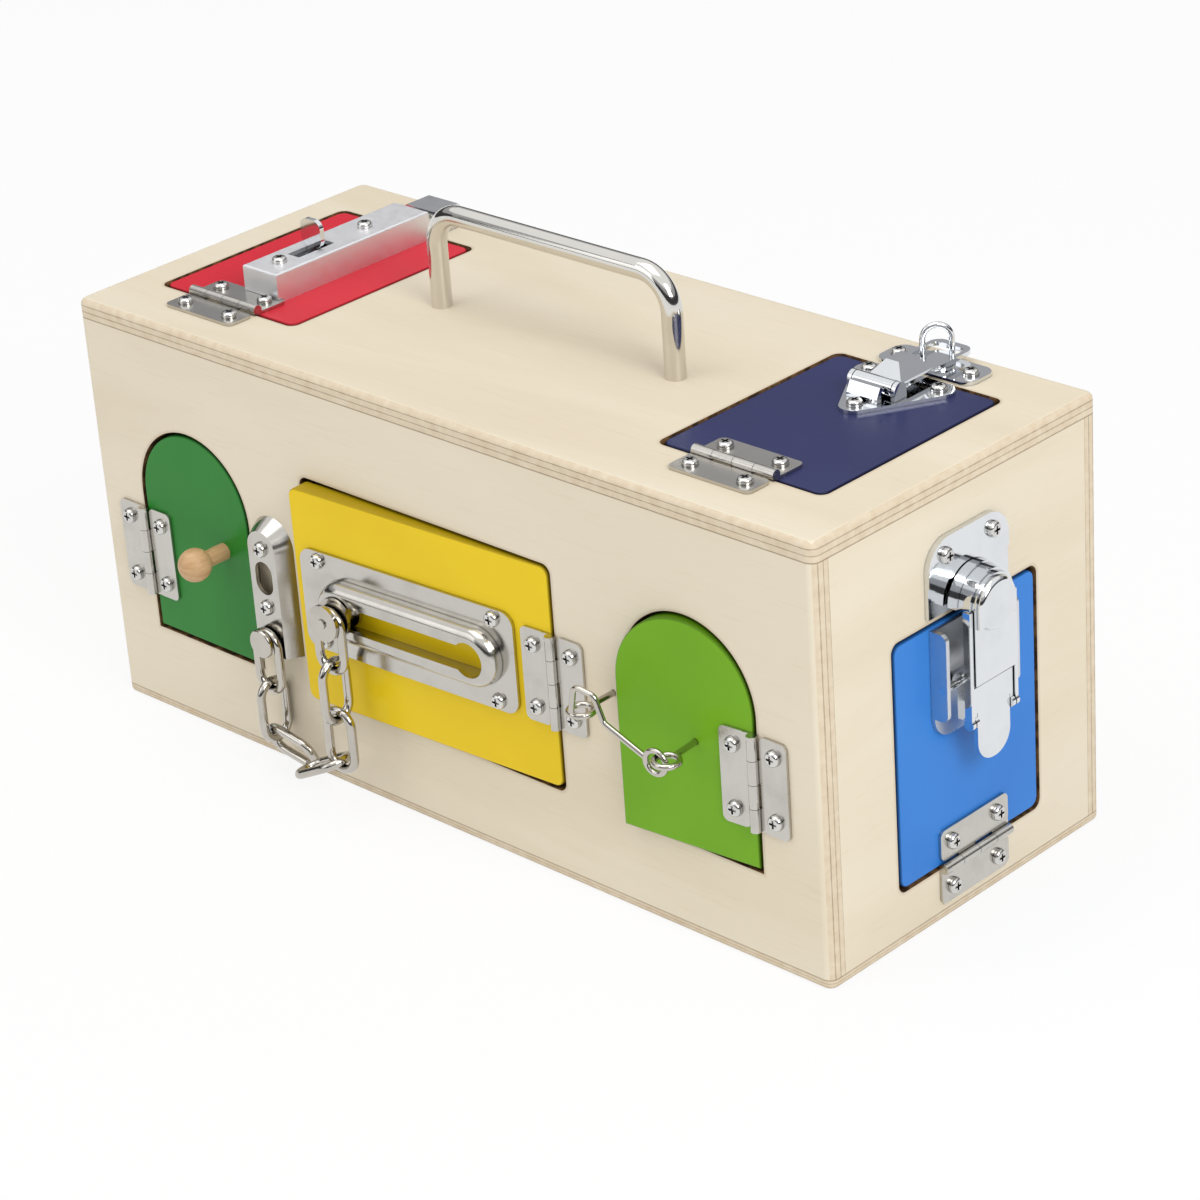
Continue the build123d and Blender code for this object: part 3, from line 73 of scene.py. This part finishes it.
class Sock:
    """A shader value that builds Math nodes from Python expressions."""

    def __init__(self, graph: "Graph", socket: bpy.types.NodeSocket) -> None:
        """Wraps one output socket of a graph."""
        self.graph = graph
        self.socket = socket

    def _math(self, operation: str, *values: "Sock | float") -> "Sock":
        """Adds one Math node over the given values."""
        node = self.graph.node("ShaderNodeMath", {"operation": operation}, dict(enumerate(values)))
        return Sock(self.graph, node.outputs[0])

    def __add__(self, other: "Sock | float") -> "Sock":
        """Sum of two values."""
        return self._math("ADD", self, other)

    __radd__ = __add__

    def __mul__(self, other: "Sock | float") -> "Sock":
        """Product of two values."""
        return self._math("MULTIPLY", self, other)

    __rmul__ = __mul__

    def __sub__(self, other: "Sock | float") -> "Sock":
        """Difference of two values."""
        return self._math("SUBTRACT", self, other)

    def __rsub__(self, other: float) -> "Sock":
        """A number less this value."""
        return self._math("SUBTRACT", other, self)

    def __abs__(self) -> "Sock":
        """Size of the value without its sign."""
        return self._math("ABSOLUTE", self)

    def above(self, low: float, high: float) -> "Sock":
        """Smooth step from 0 at low to 1 at high.

        Args:
            low: value where the step starts.
            high: value where the step ends.

        Returns:
            The step as a value between 0 and 1.
        """
        node = self.graph.node(
            "ShaderNodeMapRange",
            {"interpolation_type": "SMOOTHSTEP"},
            {"Value": self, "From Min": low, "From Max": high},
        )
        return Sock(self.graph, node.outputs["Result"])

    def most(self, other: "Sock | float") -> "Sock":
        """The larger of two values."""
        return self._math("MAXIMUM", self, other)

    def least(self, other: "Sock | float") -> "Sock":
        """The smaller of two values."""
        return self._math("MINIMUM", self, other)

    def root(self) -> "Sock":
        """Square root of the value."""
        return self._math("SQRT", self)

    def wave(self) -> "Sock":
        """Sine of the value, in radians."""
        return self._math("SINE", self)


class Graph:
    """The nodes of one material or world: the only place where shader nodes are added and linked."""

    def __init__(self, owner: bpy.types.Material | bpy.types.World) -> None:
        """Clears the owner's nodes."""
        self.owner = owner
        owner.use_nodes = True
        self.tree = owner.node_tree
        self.tree.nodes.clear()

    @classmethod
    def material(cls, name: str) -> "Graph":
        """Starts the graph of a new material."""
        return cls(bpy.data.materials.new(name))

    def node(self, kind: str, settings: dict | None = None, inputs: dict | None = None) -> bpy.types.Node:
        """Adds a node, makes its settings, then fills or links its sockets.

        Args:
            kind: the node's type name.
            settings: attributes set before the sockets.
            inputs: socket name or index to a value or a wrapped socket.

        Returns:
            The new node.
        """
        made = self.tree.nodes.new(kind)
        for key, value in (settings or {}).items():
            setattr(made, key, value)
        for key, value in (inputs or {}).items():
            if isinstance(value, Sock):
                self.tree.links.new(value.socket, made.inputs[key])
            else:
                made.inputs[key].default_value = value
        return made

    def place(self) -> Sock:
        """Object coordinates, in metres in the row's frame."""
        return Sock(self, self.node("ShaderNodeTexCoord").outputs["Object"])

    def axes(self) -> tuple[Sock, Sock, Sock]:
        """The three object coordinates, each in millimetres."""
        parts = self.node("ShaderNodeSeparateXYZ", None, {"Vector": self.place()})
        x, y, z = (Sock(self, out) * MM_PER_M for out in parts.outputs)
        return x, y, z

    def noise(self, scale: Point, detail: float = 3.0, rough: float = 0.55, twist: float = 0.0) -> Sock:
        """Soft noise from 0 to 1 with its own scale along each axis.

        Args:
            scale: cells per metre along X, Y and Z.
            detail: octaves of finer noise.
            rough: strength of the finer octaves.
            twist: how far the noise bends itself.

        Returns:
            The noise value.
        """
        spread = self.node("ShaderNodeMapping", None, {"Vector": self.place(), "Scale": scale})
        made = self.node(
            "ShaderNodeTexNoise",
            {"noise_dimensions": "3D"},
            {
                "Vector": Sock(self, spread.outputs[0]),
                "Scale": 1.0,
                "Detail": detail,
                "Roughness": rough,
                "Distortion": twist,
            },
        )
        return Sock(self, made.outputs[0])

    def mix(self, factor: "Sock | float", first: "Sock | Colour", second: "Sock | Colour") -> Sock:
        """Blends two colours.

        Args:
            factor: 0 gives the first colour and 1 the second.
            first: a colour or a wrapped colour socket.
            second: a colour or a wrapped colour socket.

        Returns:
            The blended colour.
        """
        ends = [end if isinstance(end, Sock) else (*end, 1.0) for end in (first, second)]
        made = self.node("ShaderNodeMix", {"data_type": "RGBA"}, {0: factor, 6: ends[0], 7: ends[1]})
        return Sock(self, made.outputs[2])

    def bump(self, height: Sock, strength: float, distance: float) -> Sock:
        """Turns a height value into a bumped normal.

        Args:
            height: the height field.
            strength: how much of the bump shows.
            distance: depth of a full step, in metres.

        Returns:
            The normal.
        """
        made = self.node(
            "ShaderNodeBump",
            None,
            {"Height": height, "Strength": strength, "Distance": distance},
        )
        return Sock(self, made.outputs[0])

    def end(self, shader: bpy.types.Node, kind: str = "ShaderNodeOutputMaterial") -> None:
        """Ends the graph in an output node.

        Args:
            shader: the node whose first output is the surface.
            kind: the output node's type name.
        """
        self.node(kind, None, {"Surface": Sock(self, shader.outputs[0])})

    def finish(self, inputs: dict) -> bpy.types.Material:
        """Ends the material in one surface shader.

        Args:
            inputs: the shader's sockets and their values.

        Returns:
            The finished material.
        """
        self.end(self.node("ShaderNodeBsdfPrincipled", None, inputs))
        return self.owner


@dataclass(frozen=True)
class Outline:
    """Outline of a door or of its opening, in millimetres on two axes of its face."""

    across: float
    up: float
    width: float
    height: float
    corner: float = 3.0
    arched: bool = False

    def distance(self, u: Sock, v: Sock) -> Sock:
        """Distance to the outline, negative inside it.

        A round corner is the length of the two offsets past the inner box, less the corner's radius.
        A round top is the length from the middle line below the spring, and from the spring's centre
        above it.

        Args:
            u: place across the face.
            v: place up the face.

        Returns:
            The signed distance in millimetres.
        """
        if self.arched:
            radius = self.width / 2
            rise = (v - (self.up + self.height / 2 - radius)).most(0.0)
            side = u - self.across
            return ((side * side + rise * rise).root() - radius).most(self.up - self.height / 2 - v)
        out_u = abs(u - self.across) - (self.width / 2 - self.corner)
        out_v = abs(v - self.up) - (self.height / 2 - self.corner)
        past_u, past_v = out_u.most(0.0), out_v.most(0.0)
        return (past_u * past_u + past_v * past_v).root() + out_u.most(out_v).least(0.0) - self.corner

    def shrunk(self, gap: float) -> "Outline":
        """The outline of the door that leaves a gap all round this opening.

        Args:
            gap: the gap in millimetres.

        Returns:
            The door's outline.
        """
        return replace(self, width=self.width - 2 * gap, height=self.height - 2 * gap)


@dataclass(frozen=True)
class BirchPly:
    """Pale rotary-cut birch with a faint figure, fine pores, layered edges and scorched cuts."""

    name: str
    grain: Axis
    edge_axis: Axis
    edge_low: float
    edge_high: float
    edge_masks: tuple[tuple[Axis, float], ...]
    face_axes: tuple[Axis, Axis] = FRONT_FACE
    cuts: tuple[Outline, ...] = ()
    shaded_seams: tuple[float, ...] = ()
    pale: Colour = (0.780, 0.698, 0.550)
    # dark line colour: real glue lines in the ply, and painted shade at the seams
    warm: Colour = (0.690, 0.585, 0.425)
    glue_and_seam_shade: Colour = (0.215, 0.135, 0.070)
    core: Colour = (0.600, 0.455, 0.290)
    scorch: Colour = (0.060, 0.032, 0.014)
    singe: Colour = (0.260, 0.140, 0.055)
    layers: int = 3
    figure_cells: tuple[float, float] = (5.0, 26.0)
    pore_cells: tuple[float, float] = (60.0, 1500.0)
    fray_cells: float = 300.0
    edge_blur: float = 0.15
    seam_shade_reach: tuple[float, float] = (0.12, 0.4)
    singe_reach: tuple[float, float] = (0.2, 1.4)
    scorch_reach: tuple[float, float] = (0.02, 0.16)
    relief: float = 0.0002

    def layered(self, graph: Graph, axes: tuple[Sock, Sock, Sock], fray: Sock) -> Sock:
        """Colour of a sawn edge: a glue line wherever the sine over the sheet's depth is near zero.

        Args:
            graph: the material's graph.
            axes: the three object coordinates.
            fray: noise that breaks up the lines.

        Returns:
            The edge's colour.
        """
        turns = np.pi * self.layers / (self.edge_high - self.edge_low)
        wave = ((axes[self.edge_axis] - self.edge_low) * turns).wave()
        lines = 1.0 - (abs(wave) + fray * 0.3).above(0.18, 0.55)
        return graph.mix(lines * 0.75, graph.mix(fray, self.core, self.pale), self.glue_and_seam_shade)

    def charred(self, graph: Graph, colour: Sock, wall: Sock, fray: Sock) -> Sock:
        """Burns the wall of a cut and tints the face beside it.

        Args:
            graph: the material's graph.
            colour: the colour before the burn.
            wall: signed distance to the cut.
            fray: noise that mottles the burn.

        Returns:
            The burnt colour.
        """
        burnt = graph.mix(fray.above(0.35, 0.7), self.scorch, self.singe)
        tinted = graph.mix((1.0 - wall.above(*self.singe_reach)) * 0.22, colour, self.singe)
        return graph.mix(1.0 - wall.above(*self.scorch_reach), tinted, burnt)

    def build(self) -> bpy.types.Material:
        """Makes the material: figure and pores on the faces, ply layers where an edge shows."""
        graph = Graph.material(self.name)
        axes = graph.axes()
        figure = graph.noise(stretched(self.grain, *self.figure_cells), 4.0, 0.5, 0.6)
        pores = graph.noise(stretched(self.grain, *self.pore_cells), 2.0)
        fray = graph.noise(even(self.fray_cells), 2.0)
        tint = figure.above(0.35, 0.72) * 0.55 + pores.above(0.55, 0.8) * 0.3
        colour = graph.mix(tint, self.pale, self.warm)
        blur = self.edge_blur
        edges = [abs(axes[axis]).above(limit - blur, limit + blur) for axis, limit in self.edge_masks]
        if edges:
            mask = reduce(Sock.most, edges)
            colour = graph.mix(mask * 0.9, colour, self.layered(graph, axes, fray))
        # Seam lines: partly the joint between panels, partly painted shade in the crease under an edge.
        for level in self.shaded_seams:
            seam_shade = 1.0 - abs(axes[Axis.Z] - level).above(*self.seam_shade_reach)
            colour = graph.mix(seam_shade * 0.7, colour, self.glue_and_seam_shade)
        u, v = (axes[axis] for axis in self.face_axes)
        for cut in self.cuts:
            colour = self.charred(graph, colour, cut.distance(u, v), fray)
        height = pores * 0.6 + figure * 0.4
        return graph.finish({
            "Base Color": colour,
            "Roughness": 0.42 + pores * 0.2,
            "Specular IOR Level": 0.35,
            "Normal": graph.bump(height, 0.12, self.relief),
        })


@dataclass(frozen=True)
class GlossPaint:
    """Brushed gloss paint over ply, with the grain just telegraphing through."""

    name: str
    shade: Colour
    deep: Colour
    grain: Axis
    outline: Outline
    face_axes: tuple[Axis, Axis]
    swing: tuple[float, float, float] = (0.0, 0.0, 0.0)
    edge_round: float = 0.55
    # how dark the painted shade on the cut edges is
    edge_shade_level: float = 0.42
    ridge_cells: tuple[float, float] = (30.0, 700.0)
    slow_cells: float = 18.0
    relief: float = 0.00015

    def place(self, axes: tuple[Sock, Sock, Sock]) -> tuple[Sock, Sock]:
        """Places across and up the door's own face, with an ajar door turned back about its hinge line.

        Args:
            axes: the three object coordinates.

        Returns:
            The two face coordinates.
        """
        u, v = (axes[axis] for axis in self.face_axes)
        turn, line_x, line_y = self.swing
        if turn:
            angle = np.radians(turn)
            past_x, past_y = axes[Axis.X] - line_x, axes[Axis.Y] - line_y
            u = past_x * float(np.cos(angle)) + past_y * float(np.sin(angle)) + line_x
        return u, v

    def build(self) -> bpy.types.Material:
        """Makes the material: a slow tone change, faint grain ridges, and duller cut edges darkened by
        painted shade.
        """
        graph = Graph.material(self.name)
        ridges = graph.noise(stretched(self.grain, *self.ridge_cells), 2.0)
        slow = graph.noise(even(self.slow_cells), 2.0)
        edge = self.outline.distance(*self.place(graph.axes())).above(-self.edge_round, -0.1)
        coat = graph.mix(slow.above(0.3, 0.75) * 0.7 + ridges * 0.2, self.shade, self.deep)
        # Painted shade: a darker copy of the paint on the cut edges stands in for the shade there.
        shaded_edge_colour = tuple(self.edge_shade_level * v for v in self.deep)
        return graph.finish({
            "Base Color": graph.mix(edge * 0.85, coat, shaded_edge_colour),
            "Roughness": 0.22 + slow * 0.12 + ridges * 0.06 + edge * 0.2,
            "Specular IOR Level": 0.26,
            "Normal": graph.bump(ridges, 0.10, self.relief),
        })


@dataclass(frozen=True)
class PlatedSteel:
    """Plated steel, from satin nickel to bright chrome."""

    name: str
    shade: Colour
    rough: float
    streak: Point
    haze: float
    # reach in metres of the painted shade in hollows; 0 leaves none
    recess: float = 0.0
    # near-black colour of the painted shade in recesses
    recess_shade: Colour = (0.03, 0.028, 0.025)
    cloud_cells: float = 90.0
    relief: float = 0.00005

    def build(self) -> bpy.types.Material:
        """Makes the material: polishing streaks, a soft tarnish, and painted shade in the recesses if asked
        for.
        """
        graph = Graph.material(self.name)
        lines = graph.noise(self.streak, 2.0, 0.6)
        cloud = graph.noise(even(self.cloud_cells), 3.0)
        dull = tuple(v * (1.0 - self.haze) for v in self.shade)
        tone = graph.mix(cloud.above(0.4, 0.8) * 0.7 + lines * 0.3, self.shade, dull)
        if self.recess:
            # Painted shade: ambient occlusion darkens the colour in recesses and where parts touch.
            nearby = graph.node("ShaderNodeAmbientOcclusion", {"samples": 4}, {"Distance": self.recess})
            hollow_shade = 1.0 - Sock(graph, nearby.outputs["AO"]).above(0.25, 0.75)
            tone = graph.mix(hollow_shade * 0.9, tone, self.recess_shade)
        return graph.finish({
            "Base Color": tone,
            "Metallic": 1.0,
            "Roughness": self.rough + lines * self.rough * 0.5 + cloud.above(0.5, 0.8) * 0.05,
            "Normal": graph.bump(lines, 0.05, self.relief),
        })


@dataclass(frozen=True)
class TurnedBeech:
    """Beech turned across the grain, with short dark flecks."""

    name: str = "turned_beech"
    light: Colour = (0.62, 0.40, 0.21)
    dark: Colour = (0.42, 0.23, 0.10)

    def build(self) -> bpy.types.Material:
        """Makes the material: growth bands with flecks along the peg."""
        graph = Graph.material(self.name)
        bands = graph.noise((160.0, 30.0, 500.0), 3.0, 0.6, 0.3)
        flecks = graph.noise((1800.0, 260.0, 1800.0), 2.0)
        tint = bands.above(0.3, 0.75) * 0.7 + flecks.above(0.55, 0.75) * 0.3
        return graph.finish({
            "Base Color": graph.mix(tint, self.light, self.dark),
            "Roughness": 0.38 + flecks * 0.15,
            "Normal": graph.bump(flecks, 0.15, 0.0001),
        })


def dress(material: bpy.types.Material, *nodes: str) -> None:
    """Gives each named solid one material.

    Args:
        material: the finish.
        nodes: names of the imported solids.
    """
    for name in nodes:
        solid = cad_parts[name]
        solid.data.materials.clear()
        solid.data.materials.append(material)
        LOG.info("%s wears %s", name, material.name)


HALF_LENGTH = 150.0
HALF_DEPTH = 61.0
HEIGHT = 137.0
PLY = 6.0
DOOR_GAP = 1.1
HINGE_LINE_Y = -62.6

GREEN_OPENING = Outline(-104.0, 66.0, 49.8, 72.8, arched=True)
YELLOW_OPENING = Outline(-1.0, 66.0, 104.1, 72.8)
LIME_OPENING = Outline(101.9, 66.0, 49.8, 72.8, arched=True)
RED_OPENING = Outline(-105.8, 0.4, 60.8, 77.8)
NAVY_OPENING = Outline(102.6, 2.0, 60.8, 77.8)
BLUE_OPENING = Outline(0.5, 55.9, 63.4, 78.0)


@dataclass
class Case:
    """The birch ply box: six panels with layered edges."""

    edge_round: float = 1.2
    # heights of the seam lines, drawn partly as the joint and partly as painted shade
    shaded_seams: tuple[float, ...] = (PLY / 2, HEIGHT - PLY)

    def dress(self) -> None:
        """Finishes each panel with the grain, edge layers, seam lines with painted shade, and the cuts it
        shows.
        """
        ends = (Axis.X, HALF_LENGTH - self.edge_round)
        sides = (Axis.Y, HALF_DEPTH - self.edge_round)
        front_cuts = (GREEN_OPENING, YELLOW_OPENING, LIME_OPENING)
        top_cuts = (RED_OPENING, NAVY_OPENING)
        panels = {
            "front_panel": BirchPly("birch_front", Axis.X, Axis.Y, -HALF_DEPTH, PLY - HALF_DEPTH, (ends,),
                                    FRONT_FACE, front_cuts, self.shaded_seams),
            "back_panel": BirchPly("birch_back", Axis.X, Axis.Y, HALF_DEPTH - PLY, HALF_DEPTH, (ends,),
                                   shaded_seams=self.shaded_seams),
            "top_panel": BirchPly("birch_top", Axis.X, Axis.Z, HEIGHT - PLY, HEIGHT, (ends, sides),
                                  TOP_FACE, top_cuts),
            "bottom_panel": BirchPly("birch_base", Axis.X, Axis.Z, 0.0, PLY / 2, (ends, sides)),
            "right_end_panel": BirchPly("birch_right", Axis.Y, Axis.X, HALF_LENGTH - PLY, HALF_LENGTH, (),
                                        END_FACE, (BLUE_OPENING,), self.shaded_seams),
            "left_end_panel": BirchPly("birch_left", Axis.Y, Axis.X, -HALF_LENGTH, PLY - HALF_LENGTH, (),
                                       shaded_seams=self.shaded_seams),
        }
        for node, finish in panels.items():
            dress(finish.build(), node)


@dataclass
class PaintedDoors:
    """The doors and lids in their six gloss paints."""

    yellow_swing: tuple[float, float, float] = (3.3, 50.5, HINGE_LINE_Y)
    lime_swing: tuple[float, float, float] = (5.0, 126.25, HINGE_LINE_Y)

    def coats(self) -> tuple[GlossPaint, ...]:
        """The six paints, each named after its door."""
        return (
            GlossPaint("green_door", (0.018, 0.220, 0.022), (0.013, 0.178, 0.017), Axis.Z,
                       GREEN_OPENING.shrunk(DOOR_GAP), FRONT_FACE),
            GlossPaint("yellow_door", (0.84, 0.60, 0.004), (0.77, 0.53, 0.003), Axis.X,
                       YELLOW_OPENING.shrunk(DOOR_GAP), FRONT_FACE, self.yellow_swing),
            GlossPaint("lime_door", (0.170, 0.41, 0.005), (0.140, 0.355, 0.004), Axis.Z,
                       LIME_OPENING.shrunk(DOOR_GAP), FRONT_FACE, self.lime_swing),
            GlossPaint("blue_door", (0.030, 0.215, 0.66), (0.024, 0.175, 0.58), Axis.Z,
                       BLUE_OPENING.shrunk(DOOR_GAP), END_FACE),
            GlossPaint("red_lid", (0.70, 0.014, 0.034), (0.61, 0.010, 0.026), Axis.X,
                       RED_OPENING.shrunk(DOOR_GAP), TOP_FACE),
            GlossPaint("navy_lid", (0.024, 0.030, 0.115), (0.018, 0.023, 0.092), Axis.X,
                       NAVY_OPENING.shrunk(DOOR_GAP), TOP_FACE),
        )

    def dress(self) -> None:
        """Paints each door with its own colour."""
        for coat in self.coats():
            dress(coat.build(), coat.name)


@dataclass
class Ironmongery:
    """Hinges, screws, locks and handle in their platings."""

    hinges: tuple[str, ...] = ("green", "yellow", "lime", "blue", "red", "navy")
    leaves: tuple[str, ...] = ("case_leaf", "door_leaf")
    screwed: tuple[str, ...] = ("handle", "case", "green_door", "yellow_door", "lime_door", "blue_door",
                                "red_lid", "navy_lid")
    # reach in metres of the painted shade in deep and in fine recesses
    deep_recess: float = 0.0012
    fine_recess: float = 0.0008

    def platings(self) -> tuple[tuple[PlatedSteel, tuple[str, ...]], ...]:
        """Each plating with the pieces that wear it."""
        deep, fine = self.deep_recess, self.fine_recess
        leaves = tuple(f"{door}_hinge_{leaf}" for door in self.hinges for leaf in self.leaves)
        return (
            (PlatedSteel("hinge_nickel", (0.60, 0.58, 0.54), 0.18, (900.0, 900.0, 60.0), 0.16, fine),
             (*leaves, "hinge_pins")),
            (PlatedSteel("satin_nickel", (0.58, 0.56, 0.52), 0.13, (60.0, 60.0, 900.0), 0.16, deep),
             ("slot_plate", "chain_bracket")),
            (PlatedSteel("bright_wire", (0.56, 0.53, 0.48), 0.10, even(400.0), 0.2, deep),
             ("chain_rivet", "slider", "slider_chain", "case_chain", "wall_eye", "door_eye", "hook")),
            (PlatedSteel("pressed_chrome", (0.74, 0.75, 0.77), 0.24, even(300.0), 0.10, deep),
             ("latch_base", "bolt_strike")),
            # A rougher, brighter copy of the chrome for the housing: its lighter tone is painted light on
            # the housing's side.
            (PlatedSteel("lit_satin_chrome", (0.86, 0.86, 0.88), 0.38, even(300.0), 0.08),
             ("bolt_housing",)),
            (PlatedSteel("bright_chrome", (0.76, 0.78, 0.80), 0.06, even(300.0), 0.08, deep),
             ("latch_strike", "latch_lever", "latch_loop", "latch_lever_pin", "latch_loop_pin", "bolt",
              "hasp_plate", "hasp_arm", "hasp_pin", "hasp_strike", "padlock_ring")),
            (PlatedSteel("handle_bar", (0.72, 0.70, 0.66), 0.07, (40.0, 1200.0, 1200.0), 0.08),
             ("carry_handle",)),
            (PlatedSteel("screw_plate", (0.70, 0.69, 0.67), 0.13, even(500.0), 0.2, fine),
             tuple(f"{piece}_screws" for piece in self.screwed)),
        )

    def dress(self) -> None:
        """Finishes every metal piece."""
        for finish, nodes in self.platings():
            dress(finish.build(), *nodes)


@dataclass(frozen=True)
class SoftLamp:
    """A square soft lamp: where it stands and its side in metres, and its watts."""

    name: str
    place: Point
    size: float
    power: float

    def build(self, target: Point) -> None:
        """Sets up the lamp.

        Args:
            target: the point that it is aimed at, in metres.
        """
        light = bpy.data.lights.new(self.name, "AREA")
        light.shape = "SQUARE"
        light.size = self.size
        light.energy = self.power
        thing = bpy.data.objects.new(self.name, light)
        aim = Vector(target) - Vector(self.place)
        turn = aim.to_track_quat("-Z", "Y").to_matrix().to_4x4()
        thing.matrix_world = Matrix.Translation(self.place) @ turn
        bpy.context.scene.collection.objects.link(thing)


def stage_sheet(name: str, points: np.ndarray, material: bpy.types.Material) -> bpy.types.Object:
    """Lays quads over a grid of points as one sheet.

    Args:
        name: the sheet's name.
        points: an array of rows, columns and the three coordinates.
        material: the sheet's finish.

    Returns:
        The stage object.
    """
    rows, columns = points.shape[:2]
    index = np.arange(rows * columns).reshape(rows, columns)
    corners = [index[:-1, :-1], index[1:, :-1], index[1:, 1:], index[:-1, 1:]]
    quads = np.stack(corners, axis=-1).reshape(-1, 4)
    mesh = bpy.data.meshes.new(name)
    mesh.from_pydata(points.reshape(-1, 3).tolist(), [], quads.tolist())
    mesh.materials.append(material)
    thing = bpy.data.objects.new(name, mesh)
    bpy.context.scene.collection.objects.link(thing)
    return thing


@dataclass(frozen=True)
class CardRing:
    """A ring of plain cards round the studio that only reflections show."""

    name: str
    low: float
    high: float
    tone: float
    cool: float = 1.04
    radius: float = 4.0
    columns: int = 49

    def build(self) -> None:
        """Sets up the ring: radius times cosine and sine, between the two heights in metres."""
        angle = np.linspace(0.0, 2.0 * np.pi, self.columns)
        turn, z = np.meshgrid(angle, np.array([self.low, self.high]), indexing="ij")
        points = np.stack([self.radius * np.cos(turn), self.radius * np.sin(turn), z], axis=-1)
        graph = Graph.material(self.name)
        colour = (self.tone, self.tone, self.cool * self.tone, 1.0)
        graph.end(graph.node("ShaderNodeEmission", None, {"Color": colour, "Strength": 1.0}))
        ring = stage_sheet(self.name, points, graph.owner)
        ring.visible_camera = False
        ring.visible_diffuse = False
        ring.visible_shadow = False
        LOG.info("%s set up", self.name)


@dataclass
class Studio:
    """Pale floor, soft lights and the photograph's viewpoint."""

    eye: Point = (0.753655, -0.735217, 0.572306)
    right: Point = (0.723325, 0.687458, -0.064817)
    down: Point = (0.263977, -0.362041, -0.894004)
    ahead: Point = (-0.638057, 0.629545, -0.443346)
    lens: float = 115.84
    sensor: float = 36.0
    clip: tuple[float, float] = (0.05, 50.0)
    target: Point = (0.0, 0.0, 0.06)
    lamps: tuple[SoftLamp, ...] = (
        SoftLamp("key_lamp", (1.5, -0.4, 1.2), 0.9, 16.0),
        SoftLamp("top_lamp", (-0.2, -0.3, 1.9), 1.4, 11.0),
        SoftLamp("front_lamp", (-0.9, -1.7, 0.9), 1.2, 5.5),
    )
    rings: tuple[CardRing, ...] = (
        CardRing("dark_band", 0.25, 1.45, 0.05),
        CardRing("grey_band", 1.45, 2.7, 0.42),
    )
    fill: float = 0.55
    floor_half: float = 6.0
    floor_tone: float = 0.88
    floor_plain: float = 0.86

    def build(self) -> None:
        """Sets up the floor, the reflected cards, the world, the lamps and the camera."""
        self.floor()
        for ring in self.rings:
            ring.build()
        self.world()
        for lamp in self.lamps:
            lamp.build(self.target)
        self.camera()

    @staticmethod
    def seen(graph: Graph) -> Sock:
        """1 for camera, glossy and transmission rays, which see the plain background."""
        path = graph.node("ShaderNodeLightPath")
        rays = ("Is Camera Ray", "Is Glossy Ray", "Is Transmission Ray")
        return reduce(Sock.most, [Sock(graph, path.outputs[ray]) for ray in rays])

    def floor(self) -> None:
        """A wide level sheet under the box, near white where it is seen and still shaded by the box."""
        edge = np.linspace(-self.floor_half, self.floor_half, 3)
        x, y = np.meshgrid(edge, edge, indexing="ij")
        graph = Graph.material("pale_floor")
        tone = self.floor_tone
        matt = graph.node("ShaderNodeBsdfDiffuse", None, {"Color": (tone, tone, tone, 1.0)})
        plain = graph.node("ShaderNodeEmission", None, {"Color": WHITE, "Strength": 1.0})
        graph.end(graph.node("ShaderNodeMixShader", None, {
            0: self.seen(graph) * self.floor_plain,
            1: Sock(graph, matt.outputs[0]),
            2: Sock(graph, plain.outputs[0]),
        }))
        stage_sheet("floor", np.stack([x, y, np.zeros_like(x)], axis=-1), graph.owner)
        LOG.info("floor laid")

    def world(self) -> None:
        """White all round: full where it is seen, softer where it only lights."""
        world = bpy.data.worlds.new("studio")
        bpy.context.scene.world = world
        graph = Graph(world)
        level = self.seen(graph) * (1.0 - self.fill) + self.fill
        sky = graph.node("ShaderNodeBackground", None, {"Color": WHITE, "Strength": level})
        graph.end(sky, "ShaderNodeOutputWorld")

    def camera(self) -> None:
        """The camera at the photograph's fitted place, with its slight roll."""
        data = bpy.data.cameras.new("viewpoint")
        data.lens = self.lens
        data.sensor_width = self.sensor
        data.sensor_fit = "HORIZONTAL"
        data.clip_start, data.clip_end = self.clip
        thing = bpy.data.objects.new("viewpoint", data)
        columns = np.stack([self.right, -np.array(self.down), -np.array(self.ahead)], axis=1)
        turn = Matrix(columns.tolist()).to_4x4()
        thing.matrix_world = Matrix.Translation(self.eye) @ turn
        bpy.context.scene.collection.objects.link(thing)
        bpy.context.scene.camera = thing


def main() -> None:
    """Builds and dresses every sub-assembly, then the studio."""
    logging.basicConfig(level=logging.INFO)
    bpy.context.scene.view_settings.view_transform = "Standard"
    Case().dress()
    PaintedDoors().dress()
    Ironmongery().dress()
    dress(TurnedBeech().build(), "knob")
    Studio().build()


if __name__ == "__main__":
    main()
